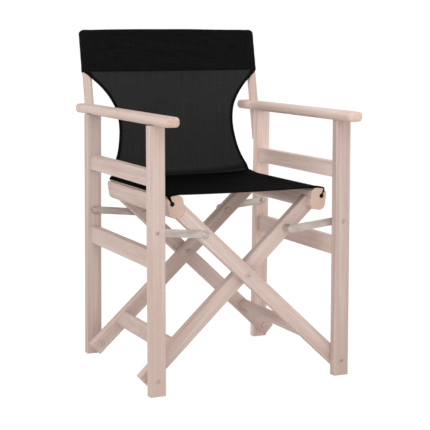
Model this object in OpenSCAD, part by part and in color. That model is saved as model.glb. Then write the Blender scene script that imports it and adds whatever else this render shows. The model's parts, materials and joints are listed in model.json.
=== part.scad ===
// Folding chair with two side frames, a crossed frame and a cloth seat and back.
// Sizes are in millimetres and angles in degrees.
// X is the width, +Y is the back, +Z is up, and the origin is on the floor in the middle.

/* [Side frames] */
// Distance from the middle of the chair to the middle of each leg
leg_x = 247; // [243:0.5:251]
// Width of a leg, across the chair
leg_w = 40; // [37:0.5:42]
// Thickness of a leg, front to back
leg_t = 22.5; // [21:0.5:24]
// Rounding of the long edges of the legs
leg_edge = 2.5; // [1.5:0.5:4]
// Front face of the front legs
front_leg_y = -247; // [-251:0.5:-243]
// Front face of the rear legs, where they meet the armrests
rear_leg_y = 204; // [201:0.5:208]
// How much further back the rear feet stand than the tops of the rear legs
rear_leg_rake = 17; // [12:0.5:20]
// Height of the underside of the armrests
arm_h = 643; // [640:1:652]
// Thickness of the armrests
arm_t = 24; // [20:0.5:24]
// Width of the armrests
arm_w = 42; // [40:0.5:44]
// Distance from the middle of the chair to the middle of each armrest
arm_x = 240; // [238:0.5:243]
// Length of the armrests
arm_len = 650; // [640:1:660]
// Rounding of the armrests at their four corners, seen from above
arm_corner = 9; // [6:0.5:12]
// Rounding of the long edges of the armrests
arm_edge = 4; // [2:0.5:6]
// Distance from the underside of the armrests down to the bottom of the upper side rails
upper_rail_drop = 144; // [139:1:149]
// Height of the upper side rails
upper_rail_h = 38; // [34:0.5:41]
// Bottom of the lower side rails
lower_rail_z = 304; // [290:1:315]
// Height of the lower side rails
lower_rail_h = 43; // [36:0.5:48]
// Thickness of the side rails
rail_t = 20; // [16:0.5:22]
// Depth of the tenons at the ends of the side rails
rail_tenon = 12; // [8:0.5:15]
// Shoulder around the tenons of the side rails
rail_shoulder = 4; // [3:0.5:6]
// Diameter of the dowels between the legs and the armrests
dowel_d = 10; // [8:0.5:12]
// Depth of those dowels in each of the two pieces
dowel_depth = 14; // [10:0.5:16]

/* [Back posts] */
// Diameter of the back posts
post_d = 24; // [22:0.5:25]
// Distance from the middle of the chair to the axis of each back post
post_x = 242; // [240:0.5:244]
// Lean of the back posts
post_lean = 11.7; // [10.5:0.1:12.5]
// Axis of the back posts at the top of the armrests
post_y = 258; // [256:0.5:261]
// How far the back posts stand above the armrests
post_rise = 195; // [185:1:210]
// Radius of the rounded tops of the back posts
post_dome = 13.5; // [13:0.5:18]
// How far the back posts reach below the armrests
post_drop = 81; // [74:1:88]
// Diameter of the screws that hold the back posts to the legs
post_screw_d = 5; // [4:0.5:6]
// Distance from the lower ends of the back posts up to those screws
post_screw_up = 20; // [15:1:28]

/* [Crossed frame] */
// Height of the lower pivots
pivot_z = 37; // [34:0.5:40]
// Height of the crossing bolts
cross_z = 269; // [264:0.5:274]
// Width of the crossed struts
strut_w = 37; // [34:0.5:39]
// Thickness of the crossed struts
strut_t = 25; // [22:0.5:26]
// How far the struts reach past their lower pivots
strut_end = 20; // [17:0.5:23]
// Gap between the legs and the nearest struts
leg_gap = 3; // [2.8:0.1:3.4]
// Gap between the two struts at a crossing
strut_gap = 1.5; // [1.4:0.1:2]
// Distance from the crossing bolts to the middle of each seat rail
seat_rail_run = 261; // [257:0.5:264]
// Width of the seat rails
seat_rail_w = 41; // [39:0.5:43]
// Height of the seat rails
seat_rail_h = 54; // [52:0.5:55]
// Rounding of the seat rails
seat_rail_corner = 15; // [13:0.5:17]
// Outward tilt of the seat rails
seat_rail_tilt = 8; // [5:0.5:11]
// Gap between the seat rails and the front legs
seat_rail_front_gap = 2; // [1.5:0.1:3]
// Gap between the seat rails and the rear legs
seat_rail_rear_gap = 3; // [2.5:0.1:5]
// Length of the tenons between the struts and the seat rails
seat_tenon = 12; // [10:0.5:13]
// Width of those tenons
seat_tenon_w = 20; // [18:0.5:22]
// Thickness of those tenons
seat_tenon_t = 12; // [10:0.5:14]
// Width of the stretchers that join the struts
stretcher_w = 38; // [34:0.5:42]
// Thickness of the stretchers
stretcher_t = 22; // [18:0.5:24]
// Distance from the lower pivots to the stretchers
stretcher_run = 69; // [64:0.5:75]
// Diameter of the stretcher tenons
stretcher_tenon_d = 14; // [12:0.5:16]
// Length of the stretcher tenons
stretcher_tenon = 12; // [9:0.5:15]
// How far the chair turns at the crossing bolts and lower pivots when it folds
fold_angle = 30; // [28:0.5:30]

/* [Links] */
// Distance from the crossing bolts to the links' pivots on the struts
link_run = 158; // [154:0.5:162]
// Width of the flat links
link_w = 19; // [17:0.5:20]
// Thickness of the flat links
link_t = 2; // [1.6:0.1:2.2]
// Diameter of the spacers between the inner struts and their links
link_spacer_d = 19; // [17:0.5:20]
// Gap on each side of a link where it lies against wood
link_gap = 0.3; // [0.25:0.05:0.35]

/* [Bolts] */
// Diameter of the pivot bolts
bolt_d = 6; // [5:0.5:7]
// Diameter of the bolt heads and washers
head_d = 13; // [12:0.5:14]
// Height of the bolt heads
head_h = 3; // [2.5:0.1:3.5]
// Diameter of the small bolt heads sunk in the front legs
sunk_head_d = 9; // [8:0.5:10]
// Width of the nuts across their flats
nut_w = 10; // [9:0.5:11]
// Height of the nuts
nut_h = 5; // [4:0.5:5.5]
// Radial clearance of the bolts in their holes
pin_fit = 0.05; // [0.03:0.01:0.08]
// Depth of the flat seats that are cut for heads and nuts on leaning wood
seat_cut = 0.5; // [0.4:0.05:0.7]

/* [Cloth] */
// Thickness of the seat cloth
cloth_t = 2.4; // [2:0.1:3]
// Gap between cloth and wood that move apart
cloth_gap = 0.4; // [0.3:0.05:0.6]
// Diameter of the rods that hold the cloth in the seat rails
rod_d = 7; // [6:0.5:7.5]
// Thickness of the cloth around those rods
hem_t = 1.7; // [1.4:0.1:2]
// Distance of those rods outward from the middle of the seat rails
rod_out = 9.5; // [9:0.5:10.5]
// Distance of those rods above the middle of the seat rails
rod_up = 7; // [6:0.5:8]
// Width of the slots in the seat rails
slot_w = 3.6; // [3.2:0.1:4]
// Direction of the slots in the seat rails, from level
slot_turn = 57; // [52:1:62]
// Distance from the middle of the seat rails to the line where the seat cloth bends
seat_bend = 6; // [4:0.5:8]
// Height of the solid band at the top of the back
band_h = 110; // [100:1:120]
// Thickness of the band and of the sleeves
sleeve_t = 2.2; // [1.8:0.1:2.8]
// How far the sleeves reach above the back posts
sleeve_over = 3; // [2:0.5:4]
// Half the width of the mesh at its waist
waist_x = 168; // [162:1:176]
// How far the waist of the mesh lies below the underside of the armrests
waist_drop = 50; // [43:1:58]
// Radius of the curved edges of the mesh
waist_r = 181; // [176:1:190]
// Width of the tape on the curved edges of the mesh
binding_w = 9; // [7:0.5:12]

/* [Hidden] */
$fn = 48;
far = 2000;
// Angle between the struts and the vertical
strut_lean = atan2(leg_x, cross_z - pivot_z);
// Distance from the lower pivots to the crossing bolts
pivot_run = sqrt(pow(leg_x, 2) + pow(cross_z - pivot_z, 2));
rail_run = pivot_run + seat_rail_run;
seat_rail_x = seat_rail_run * sin(strut_lean);
seat_rail_z = cross_z + seat_rail_run * cos(strut_lean);
front_leg_back = front_leg_y + leg_t;
rear_lean = atan2(rear_leg_rake, arm_h);
function rear_leg_front(z) = rear_leg_y + (arm_h - z) * tan(rear_lean);
front_a_y = front_leg_back + leg_gap;
front_b_y = front_a_y + strut_t + strut_gap;
rear_a_y = rear_leg_front(pivot_z) - leg_gap;
rear_b_y = rear_a_y - (strut_t + strut_gap) / cos(rear_lean);
// Back face of a rear strut at a distance run from its lower pivot
function rear_back(y, run) = y - run * sin(rear_lean);
function rear_front(y, run) = rear_back(y, run) - strut_t / cos(rear_lean);
seat_rail_y0 = front_leg_back + seat_rail_front_gap;
seat_rail_y1 = rear_leg_front(arm_h) - seat_rail_rear_gap;
seat_rail_len = seat_rail_y1 - seat_rail_y0;
// The links reach their struts both when the chair is open and when it is folded
link_strut_run = pivot_run + link_run;
link_leg_z = pivot_z + 2 * pivot_run * link_run / link_strut_run
    * (cos(strut_lean) + cos(strut_lean - fold_angle));
link_strut_x = link_run * sin(strut_lean);
link_strut_z = cross_z + link_run * cos(strut_lean);
link_front_y = front_leg_back + link_gap;
link_rear_y = rear_leg_front(link_leg_z + 60) - link_gap - link_t;
link_rise = link_strut_z - link_leg_z;
link_reach = leg_x - link_strut_x;
link_len = sqrt(pow(link_reach, 2) + pow(link_rise, 2));
link_turn = atan2(link_rise, link_reach);
hole_d = bolt_d + 2 * pin_fit;
// Diameter of the flat seats that are cut for heads, nuts and spacers
seat_d = max(head_d, link_spacer_d) + 1;
arm_top = arm_h + arm_t;
upper_rail_z = arm_h - upper_rail_drop;
hem_r = rod_d / 2 + hem_t;
slot_r = hem_r + 0.5;
// Highest point of a seat rail above its middle
seat_rail_top = (seat_rail_h / 2 - seat_rail_corner) * cos(seat_rail_tilt)
    + (seat_rail_w / 2 - seat_rail_corner) * sin(seat_rail_tilt) + seat_rail_corner;
seat_z = seat_rail_z + seat_rail_top + cloth_gap;
seat_bend_x = seat_rail_x - seat_bend;
// A point outside the seat rail, in line with its slot
slot_mouth_x = -seat_rail_x - rod_out - seat_rail_h * cos(slot_turn);
slot_mouth_z = seat_rail_z + rod_up + seat_rail_h * sin(slot_turn);
post_r = post_d / 2;
post_top = arm_top + post_rise;
post_foot = arm_h - post_drop;
post_screw_z = post_foot + post_screw_up;
band_z = post_top - band_h;
waist_z = arm_h - waist_drop;
sleeve_r = post_r + sleeve_t;
// Distance along a back post from the top of the armrest to a height z
function post_run(z) = (z - arm_top) / cos(post_lean);
post_screw_y = post_y - (arm_top - post_screw_z) * tan(post_lean) + post_r;
band_back = post_r - 1.5;
band_run0 = post_run(band_z);
band_run1 = post_run(post_top) + sleeve_over;
mesh_t = 1.8;
mesh_y = seat_rail_y1 + mesh_t / 2 + cloth_gap;
mesh_z = seat_z;
mesh_out = post_r + cloth_gap + mesh_t / 2;
mesh_top_y = post_y + (band_z - arm_top) * tan(post_lean) - mesh_out / cos(post_lean);
mesh_lean = atan2(mesh_top_y - mesh_y, band_z - mesh_z);
mesh_run = (band_z - mesh_z) / cos(mesh_lean);
waist_run = (waist_z - mesh_z) / cos(mesh_lean);
// Between the rear legs the mesh keeps the same gap to them as the struts do
mesh_room = leg_x - leg_w / 2 - leg_gap;
mesh_arm_run = (arm_top - mesh_z) / cos(mesh_lean);

// Shared shapes

module rounded(w, t, r) {
    square([w - 2 * r, t], center = true);
    square([w, t - 2 * r], center = true);
    for (x = [-1, 1]) {
        for (y = [-1, 1]) {
            translate([x * (w / 2 - r), y * (t / 2 - r)]) circle(r);
        }
    }
}

// Puts a flat outline in X and Z, and pulls it from y0 to y1
module along_y(y0, y1) {
    translate([0, y1, 0]) rotate([90, 0, 0]) linear_extrude(y1 - y0) children();
}

module rod_y(x, z, y0, y1, d) {
    translate([x, y1, z]) rotate([90, 0, 0]) cylinder(d = d, h = y1 - y0);
}

module nut_y(x, z, y0, h) {
    difference() {
        translate([x, y0 + h, z]) rotate([90, 0, 0]) cylinder(d = nut_w / cos(30), h = h, $fn = 6);
        rod_y(x, z, y0 - 1, y0 + h + 1, bolt_d);
    }
}

module washer_y(x, z, y0, y1, d) {
    difference() {
        rod_y(x, z, y0, y1, d);
        rod_y(x, z, y0 - 1, y1 + 1, bolt_d);
    }
}

// A low round head that stands out towards -Y from y0
module head_y(x, z, y0, d, h) {
    translate([x, y0, z]) rotate([90, 0, 0]) {
        difference() {
            union() {
                cylinder(d = d, h = h * 0.6);
                translate([0, 0, h * 0.6]) cylinder(d1 = d, d2 = d - 2.4, h = h * 0.4);
            }
            translate([0, 0, h * 0.5]) cylinder(d = d * 0.36, h = h, $fn = 6);
        }
    }
}

// Outer struts run from the right feet to the left seat rail. Inner ones are their mirror.
module strut_frame() {
    translate([leg_x, 0, pivot_z]) rotate([0, -strut_lean, 0]) children();
}

module mirrored() {
    mirror([1, 0, 0]) children();
}

// Side frames, drawn for the right side

module leg_holes(y0, y1, d) {
    rod_y(leg_x, pivot_z, y0, y1, d);
    rod_y(leg_x, link_leg_z, y0, y1, d);
}

module arm_dowels() {
    for (y = [front_leg_y + leg_t / 2, rear_leg_y + leg_t / 2]) {
        translate([(leg_x + arm_x) / 2, y, arm_h - dowel_depth]) {
            cylinder(d = dowel_d, h = 2 * dowel_depth);
        }
    }
}

module side_rail(z, h) {
    difference() {
        translate([leg_x - rail_t / 2, front_leg_back, z]) {
            cube([rail_t, rear_leg_front(z) - front_leg_back, h]);
        }
        rear_leg_block();
    }
    rail_tenon(z, h, front_leg_back - rail_tenon, rail_tenon);
    rail_tenon(z, h, rear_leg_front(z + h) - 1, rail_tenon + 1);
}

module rail_tenon(z, h, y, length) {
    translate([leg_x - rail_t / 2 + rail_shoulder, y, z + rail_shoulder]) {
        cube([rail_t - 2 * rail_shoulder, length, h - 2 * rail_shoulder]);
    }
}

module rail_mortises() {
    side_rail(upper_rail_z, upper_rail_h);
    side_rail(lower_rail_z, lower_rail_h);
}

module rear_leg_block() {
    translate([leg_x, rear_leg_y, arm_h]) rotate([rear_lean, 0, 0]) {
        translate([-leg_w, 0, -far / 2]) cube([2 * leg_w, leg_t, far]);
    }
}

module front_leg() {
    difference() {
        translate([leg_x, front_leg_y + leg_t / 2, 0]) {
            linear_extrude(arm_h) rounded(leg_w, leg_t, leg_edge);
        }
        leg_holes(front_leg_y - 1, front_leg_back + 1, hole_d);
        rod_y(leg_x, pivot_z, front_leg_y - 1, front_leg_y + head_h, sunk_head_d + 0.4);
        rod_y(leg_x, link_leg_z, front_leg_y - 1, front_leg_y + head_h, sunk_head_d + 0.4);
        rail_mortises();
        arm_dowels();
    }
}

module rear_leg() {
    difference() {
        intersection() {
            translate([leg_x, rear_leg_y, arm_h]) rotate([rear_lean, 0, 0]) {
                translate([0, leg_t / 2, -arm_h - leg_w]) {
                    linear_extrude(arm_h + 2 * leg_w) rounded(leg_w, leg_t, leg_edge);
                }
            }
            translate([leg_x - leg_w, 0, 0]) cube([2 * leg_w, far, arm_h]);
        }
        leg_holes(0, far, hole_d);
        rod_y(leg_x, pivot_z, rear_leg_front(pivot_z) + leg_t - seat_cut, far, head_d + 1);
        rod_y(leg_x, link_leg_z, rear_leg_front(link_leg_z) + leg_t - seat_cut, far, head_d + 1);
        rail_mortises();
        arm_dowels();
        post_screw_body(post_screw_d);
    }
}

// A rod with a rounded top
module domed(r, h, dome) {
    intersection() {
        cylinder(r = r, h = h);
        union() {
            translate([0, 0, -1]) cylinder(r = dome, h = h - dome + 1);
            translate([0, 0, h - dome]) sphere(r = dome);
        }
    }
}

module post_axis() {
    translate([post_x, post_y, arm_top]) rotate([-post_lean, 0, 0]) children();
}

module armrest() {
    difference() {
        intersection() {
            translate([arm_x, 0, arm_h + arm_t / 2]) {
                along_y(-arm_len / 2, arm_len / 2) rounded(arm_w, arm_t, arm_edge);
            }
            translate([arm_x, 0, arm_h]) linear_extrude(arm_t) rounded(arm_w, arm_len, arm_corner);
        }
        post_axis() translate([0, 0, -3 * arm_t]) cylinder(d = post_d + 2 * pin_fit, h = 6 * arm_t);
        arm_dowels();
    }
}

module back_post() {
    difference() {
        post_axis() {
            translate([0, 0, post_run(post_foot)]) {
                domed(post_r, post_run(post_top) - post_run(post_foot), post_dome);
            }
        }
        rear_leg_block();
        post_screw_body(post_screw_d);
        post_screw_seat();
    }
}

module post_screw_body(d) {
    rod_y((post_x + leg_x) / 2, post_screw_z, rear_leg_front(post_screw_z) + 5, post_screw_y, d);
}

module post_screw_seat() {
    rod_y((post_x + leg_x) / 2, post_screw_z, post_screw_y - 2.5, post_screw_y + 9, 9.4);
}

module post_screw() {
    post_screw_body(post_screw_d);
    rod_y((post_x + leg_x) / 2, post_screw_z, post_screw_y - 2.5, post_screw_y, 9);
}

// Crossed frame, drawn for the outer frame

module front_strut(y) {
    translate([0, y + strut_t / 2, -strut_end]) {
        linear_extrude(strut_end + rail_run) rounded(strut_w, strut_t, leg_edge);
    }
}

module rear_strut(y) {
    translate([0, y, 0]) rotate([rear_lean, 0, 0]) {
        translate([0, -strut_t / 2, -strut_end]) {
            linear_extrude(strut_end + rail_run) rounded(strut_w, strut_t, leg_edge);
        }
    }
}

module strut_holes(y0, y1) {
    for (run = [0, pivot_run, link_strut_run]) {
        rod_y(0, run, y0, y1, hole_d);
    }
}

// Flat seats for the heads and nuts on a leaning rear strut
module strut_seats(y) {
    for (run = [0, pivot_run, link_strut_run]) {
        rod_y(0, run, rear_front(y, run) - 20, rear_front(y, run) + seat_cut, seat_d);
        rod_y(0, run, rear_back(y, run) - seat_cut, rear_back(y, run) + 20, seat_d);
    }
}

// A tenon starts inside its strut and ends inside the seat rail
module seat_tenon_piece(y) {
    strut_frame() {
        translate([-seat_tenon_w / 2, y - seat_tenon_t / 2, rail_run - seat_rail_h / 2 - 9]) {
            cube([seat_tenon_w, seat_tenon_t, seat_tenon + 9]);
        }
    }
}

module seat_rail_outline() {
    translate([-seat_rail_x, seat_rail_z]) rotate(seat_rail_tilt) {
        rounded(seat_rail_w, seat_rail_h, seat_rail_corner);
    }
}

module seat_slot_outline() {
    translate([-seat_rail_x - rod_out, seat_rail_z + rod_up]) {
        circle(slot_r);
        rotate(180 - slot_turn) translate([0, -slot_w / 2]) square([seat_rail_h, slot_w]);
    }
}

function front_mid(y) = y + strut_t / 2;
function rear_mid(y) = rear_back(y, rail_run) - strut_t / 2;

module seat_rail(y_front, y_rear) {
    difference() {
        along_y(seat_rail_y0, seat_rail_y1) difference() {
            seat_rail_outline();
            seat_slot_outline();
        }
        seat_tenon_piece(front_mid(y_front));
        seat_tenon_piece(rear_mid(y_rear));
    }
}

function stretcher_x() = strut_w / 2 - 3 - stretcher_t / 2;

module stretcher_block(y_front, y_rear) {
    y0 = y_front + strut_t;
    difference() {
        translate([stretcher_x(), 0, stretcher_run + stretcher_w / 2]) {
            along_y(y0, rear_front(y_rear, stretcher_run)) rounded(stretcher_t, stretcher_w, leg_edge);
        }
        translate([0, y_rear, 0]) rotate([rear_lean, 0, 0]) {
            translate([-strut_w, -strut_t, 0]) cube([2 * strut_w, 2 * strut_t, rail_run]);
        }
    }
}

module stretcher(y_front, y_rear) {
    strut_frame() {
        stretcher_block(y_front, y_rear);
        stretcher_tenons(y_front, y_rear);
    }
}

module stretcher_tenons(y_front, y_rear) {
    run = stretcher_run + stretcher_w / 2;
    y0 = y_front + strut_t;
    y1 = rear_front(y_rear, run);
    translate([stretcher_x(), 0, run]) {
        rotate([90, 0, 0]) {
            translate([0, 0, -y0 - 1]) cylinder(d = stretcher_tenon_d, h = stretcher_tenon + 1);
            translate([0, 0, -y1 - stretcher_tenon]) cylinder(d = stretcher_tenon_d, h = stretcher_tenon + 2);
        }
    }
}

module front_strut_piece(y_front, y_rear) {
    strut_frame() {
        difference() {
            front_strut(y_front);
            strut_holes(y_front - 1, y_front + strut_t + 1);
            stretcher_tenons(y_front, y_rear);
            strut_rail_space();
        }
    }
    seat_tenon_piece(front_mid(y_front));
}

module rear_strut_piece(y_front, y_rear) {
    strut_frame() {
        difference() {
            rear_strut(y_rear);
            strut_holes(0, far);
            strut_seats(y_rear);
            stretcher_tenons(y_front, y_rear);
            strut_rail_space();
        }
    }
    seat_tenon_piece(rear_mid(y_rear));
}

// Space of the seat rail, in the frame of its strut
module strut_rail_space() {
    translate([0, 0, rail_run]) rotate([0, strut_lean, 0]) {
        translate([seat_rail_x, 0, -seat_rail_z]) along_y(-far / 2, far / 2) seat_rail_outline();
    }
}

// Links, drawn for the right side. The head at the strut end turns with the link.

module link_plate(y) {
    translate([leg_x, y + link_t, link_leg_z]) rotate([0, link_turn, 0]) rotate([90, 0, 0]) {
        linear_extrude(link_t) {
            difference() {
                union() {
                    translate([-link_len, -link_w / 2]) square([link_len, link_w]);
                    circle(d = link_w);
                    translate([-link_len, 0]) circle(d = link_w);
                }
                circle(d = hole_d);
            }
        }
    }
}

module link_front() {
    link_plate(link_front_y);
    head_y(link_strut_x, link_strut_z, link_front_y, head_d, head_h);
}

module link_rear() {
    link_plate(link_rear_y);
    mirror([0, 1, 0]) head_y(link_strut_x, link_strut_z, -link_rear_y - link_t, head_d, head_h);
}

module link_bolts() {
    head_y(leg_x, link_leg_z, front_leg_y + head_h, sunk_head_d, head_h - 0.4);
    rod_y(leg_x, link_leg_z, front_leg_y + head_h, link_front_y + link_t + link_gap + nut_h, bolt_d);
    y1 = rear_leg_front(link_leg_z) + leg_t - seat_cut;
    rod_y(leg_x, link_leg_z, link_rear_y - link_gap - nut_h, y1, bolt_d);
    mirror([0, 1, 0]) head_y(leg_x, link_leg_z, -y1, head_d, head_h);
}

module link_nuts() {
    nut_y(leg_x, link_leg_z, link_front_y + link_t + link_gap, nut_h);
    nut_y(leg_x, link_leg_z, link_rear_y - link_gap - nut_h, nut_h);
}

// Studs in the struts at the strut ends of the links. They end short of the links.
module link_studs(y_front, y_rear) {
    y0 = link_front_y + link_t + link_gap;
    y1 = rear_front(y_rear, link_strut_run) + seat_cut;
    rod_y(link_strut_x, link_strut_z, y0, y_front + strut_t + 2, bolt_d);
    washer_head(link_strut_x, link_strut_z, y_front + strut_t);
    rod_y(link_strut_x, link_strut_z, y1 - 2, link_rear_y - link_gap, bolt_d);
    mirror([0, 1, 0]) washer_head(link_strut_x, link_strut_z, -y1);
}

module washer_head(x, z, y) {
    rod_y(x, z, y, y + head_h, head_d);
}

module link_spacers(y_front, y_rear) {
    y1 = rear_back(y_rear, link_strut_run) - seat_cut;
    washer_y(link_strut_x, link_strut_z, link_front_y + link_t + link_gap, y_front, link_spacer_d);
    washer_y(link_strut_x, link_strut_z, y1, link_rear_y - link_gap, link_spacer_d);
}

// Pivot bolts, drawn for the right side

module pivot_bolts(y_front, y_rear) {
    head_y(leg_x, pivot_z, front_leg_y + head_h, sunk_head_d, head_h - 0.4);
    rod_y(leg_x, pivot_z, front_leg_y + head_h, y_front + strut_t + 0.3 + nut_h, bolt_d);
    y0 = rear_front(y_rear, 0) + seat_cut - 0.3;
    y1 = rear_leg_front(pivot_z) + leg_t - seat_cut;
    head_y(leg_x, pivot_z, y0, head_d, head_h);
    rod_y(leg_x, pivot_z, y0, y1 + nut_h, bolt_d);
}

module pivot_nuts(y_front) {
    nut_y(leg_x, pivot_z, y_front + strut_t + 0.3, nut_h);
    nut_y(leg_x, pivot_z, rear_leg_front(pivot_z) + leg_t - seat_cut, nut_h);
}

module pivot_spacers(y_front, y_rear, gap) {
    washer_y(leg_x, pivot_z, front_leg_back, y_front - gap, head_d);
    washer_y(leg_x, pivot_z, rear_back(y_rear, 0) - seat_cut + gap, rear_leg_front(pivot_z) - 0.2, head_d);
}

module cross_bolts() {
    rear_y = rear_front(rear_b_y, pivot_run) + seat_cut - 0.3;
    head_y(0, cross_z, front_a_y, head_d, head_h);
    rod_y(0, cross_z, front_a_y, front_b_y + strut_t + 0.3 + nut_h, bolt_d);
    head_y(0, cross_z, rear_y, head_d, head_h);
    rod_y(0, cross_z, rear_y, rear_back(rear_a_y, pivot_run) - seat_cut + nut_h, bolt_d);
}

module cross_nuts() {
    nut_y(0, cross_z, front_b_y + strut_t + 0.3, nut_h);
    nut_y(0, cross_z, rear_back(rear_a_y, pivot_run) - seat_cut, nut_h);
}

module cross_washers() {
    rear_gap_y = rear_front(rear_a_y, pivot_run) + seat_cut;
    washer_y(0, cross_z, front_a_y + strut_t, front_b_y - 0.3, head_d);
    washer_y(0, cross_z, rear_back(rear_b_y, pivot_run) - seat_cut + 0.3, rear_gap_y, head_d);
}

// Cloth, drawn for the left seat rail

module seat_hem_outline() {
    intersection() {
        difference() {
            wrapped_rail_outline();
            seat_rail_outline();
        }
        polygon([
            [-seat_rail_x - rod_out, seat_rail_z + rod_up],
            [-seat_bend_x - 0.3, seat_rail_z + rod_up],
            [-seat_bend_x - 0.3, seat_rail_z + seat_rail_h],
            [slot_mouth_x, slot_mouth_z]
        ]);
    }
    difference() {
        union() {
            translate([-seat_rail_x - rod_out, seat_rail_z + rod_up]) circle(hem_r);
            intersection() {
                translate([-seat_rail_x - rod_out, seat_rail_z + rod_up]) rotate(180 - slot_turn) {
                    translate([0, -cloth_t / 2]) square([seat_rail_h, cloth_t]);
                }
                wrapped_rail_outline();
            }
        }
        translate([-seat_rail_x - rod_out, seat_rail_z + rod_up]) circle(d = rod_d);
    }
}

// The seat rail's outline with the cloth on it
module wrapped_rail_outline() {
    r = seat_rail_corner + cloth_t;
    translate([-seat_rail_x, seat_rail_z]) rotate(seat_rail_tilt) {
        rounded(seat_rail_w + 2 * cloth_t, seat_rail_h + 2 * cloth_t, r);
    }
}

module seat_hem() {
    along_y(seat_rail_y0, seat_rail_y1) seat_hem_outline();
}

module seat_rod() {
    rod_y(-seat_rail_x - rod_out, seat_rail_z + rod_up, seat_rail_y0, seat_rail_y1, rod_d);
}

module seat_cloth() {
    translate([-seat_bend_x, seat_rail_y0, seat_z]) {
        cube([seat_bend_x - 0.15, seat_rail_len, cloth_t]);
    }
}

module band_body() {
    post_reach = sqrt(pow(sleeve_r, 2) - pow(band_back, 2)) + 0.3;
    translate([0, post_y, arm_top]) rotate([-post_lean, 0, 0]) {
        translate([post_reach - post_x, -band_back - sleeve_t, band_run0]) {
            cube([2 * (post_x - post_reach), sleeve_t, band_run1 - band_run0 - 2]);
        }
    }
}

module mesh_frame() {
    translate([0, mesh_y, mesh_z]) rotate([-mesh_lean, 0, 0]) {
        rotate([90, 0, 0]) translate([0, 0, -mesh_t / 2]) children();
    }
}

module mesh_outline(edge) {
    difference() {
        union() {
            translate([-mesh_room, 0]) square([2 * mesh_room, mesh_run]);
            translate([-post_x, mesh_arm_run]) square([2 * post_x, mesh_run - mesh_arm_run]);
        }
        for (side = [-1, 1]) {
            translate([side * (waist_x + waist_r), waist_run]) circle(waist_r + edge, $fn = 96);
        }
    }
}

module mesh_body() {
    mesh_frame() linear_extrude(mesh_t) mesh_outline(binding_w);
}

module binding_body() {
    mesh_frame() linear_extrude(mesh_t + 0.6) {
        difference() {
            mesh_outline(0);
            mesh_outline(binding_w);
        }
    }
}

module sleeve_body() {
    post_axis() {
        difference() {
            translate([0, 0, band_run0]) {
                domed(sleeve_r, band_run1 - band_run0, post_dome + sleeve_t);
            }
            translate([0, 0, band_run0 - 1]) {
                domed(post_r + 0.05, post_run(post_top) - band_run0 + 1.1, post_dome + 0.05);
            }
        }
    }
}

wood = [0.84, 0.74, 0.68];
steel = [0.62, 0.61, 0.58];
black = [0.06, 0.06, 0.06];
mesh_grey = [0.15, 0.15, 0.15];

module front_leg_right() { color(wood) front_leg(); }
module rear_leg_right() { color(wood) rear_leg(); }
module armrest_right() { color(wood) armrest(); }
module upper_side_rail_right() { color(wood) side_rail(upper_rail_z, upper_rail_h); }
module lower_side_rail_right() { color(wood) side_rail(lower_rail_z, lower_rail_h); }
module back_post_right() { color(wood) back_post(); }
module arm_dowels_right() { color(wood) arm_dowels(); }
module post_screw_right() { color(steel) post_screw(); }
module front_leg_left() { color(wood) mirrored() front_leg(); }
module rear_leg_left() { color(wood) mirrored() rear_leg(); }
module armrest_left() { color(wood) mirrored() armrest(); }
module upper_side_rail_left() { color(wood) mirrored() side_rail(upper_rail_z, upper_rail_h); }
module lower_side_rail_left() { color(wood) mirrored() side_rail(lower_rail_z, lower_rail_h); }
module back_post_left() { color(wood) mirrored() back_post(); }
module arm_dowels_left() { color(wood) mirrored() arm_dowels(); }
module post_screw_left() { color(steel) mirrored() post_screw(); }
module seat_rail_left() { color(wood) seat_rail(front_a_y, rear_a_y); }
module strut_front_outer() { color(wood) front_strut_piece(front_a_y, rear_a_y); }
module strut_rear_outer() { color(wood) rear_strut_piece(front_a_y, rear_a_y); }
module stretcher_outer() { color(wood) stretcher(front_a_y, rear_a_y); }
module seat_rail_right() { color(wood) mirrored() seat_rail(front_b_y, rear_b_y); }
module strut_front_inner() { color(wood) mirrored() front_strut_piece(front_b_y, rear_b_y); }
module strut_rear_inner() { color(wood) mirrored() rear_strut_piece(front_b_y, rear_b_y); }
module stretcher_inner() { color(wood) mirrored() stretcher(front_b_y, rear_b_y); }
module pivot_bolts_right() { color(steel) pivot_bolts(front_a_y, rear_a_y); }
module pivot_nuts_right() { color(steel) pivot_nuts(front_a_y); }
module pivot_washers_right() { color(steel) pivot_spacers(front_a_y, rear_a_y, 0.3); }
module pivot_bolts_left() { color(steel) mirrored() pivot_bolts(front_b_y, rear_b_y); }
module pivot_nuts_left() { color(steel) mirrored() pivot_nuts(front_b_y); }
module pivot_spacers_left() { color(steel) mirrored() pivot_spacers(front_b_y, rear_b_y, 0.3); }
module link_front_left() { color(steel) mirrored() link_front(); }
module link_rear_left() { color(steel) mirrored() link_rear(); }
module link_front_right() { color(steel) link_front(); }
module link_rear_right() { color(steel) link_rear(); }
module link_bolts_left() { color(steel) mirrored() link_bolts(); }
module link_nuts_left() { color(steel) mirrored() link_nuts(); }
module link_bolts_right() { color(steel) link_bolts(); }
module link_nuts_right() { color(steel) link_nuts(); }
module link_studs_outer() { color(steel) mirrored() link_studs(front_a_y, rear_a_y); }
module link_studs_inner() { color(steel) link_studs(front_b_y, rear_b_y); }
module link_spacers_inner() { color(steel) link_spacers(front_b_y, rear_b_y); }
module seat_hem_left() { color(black) seat_hem(); }
module seat_hem_right() { color(black) mirrored() seat_hem(); }
module seat_rod_left() { color(black) seat_rod(); }
module seat_rod_right() { color(black) mirrored() seat_rod(); }
module seat_cloth_left() { color(black) seat_cloth(); }
module seat_cloth_right() { color(black) mirrored() seat_cloth(); }
module back_band() { color(black) band_body(); }
module back_mesh() { color(mesh_grey) mesh_body(); }
module back_binding() { color(black) binding_body(); }
module back_sleeve_left() { color(black) mirrored() sleeve_body(); }
module back_sleeve_right() { color(black) sleeve_body(); }

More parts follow.
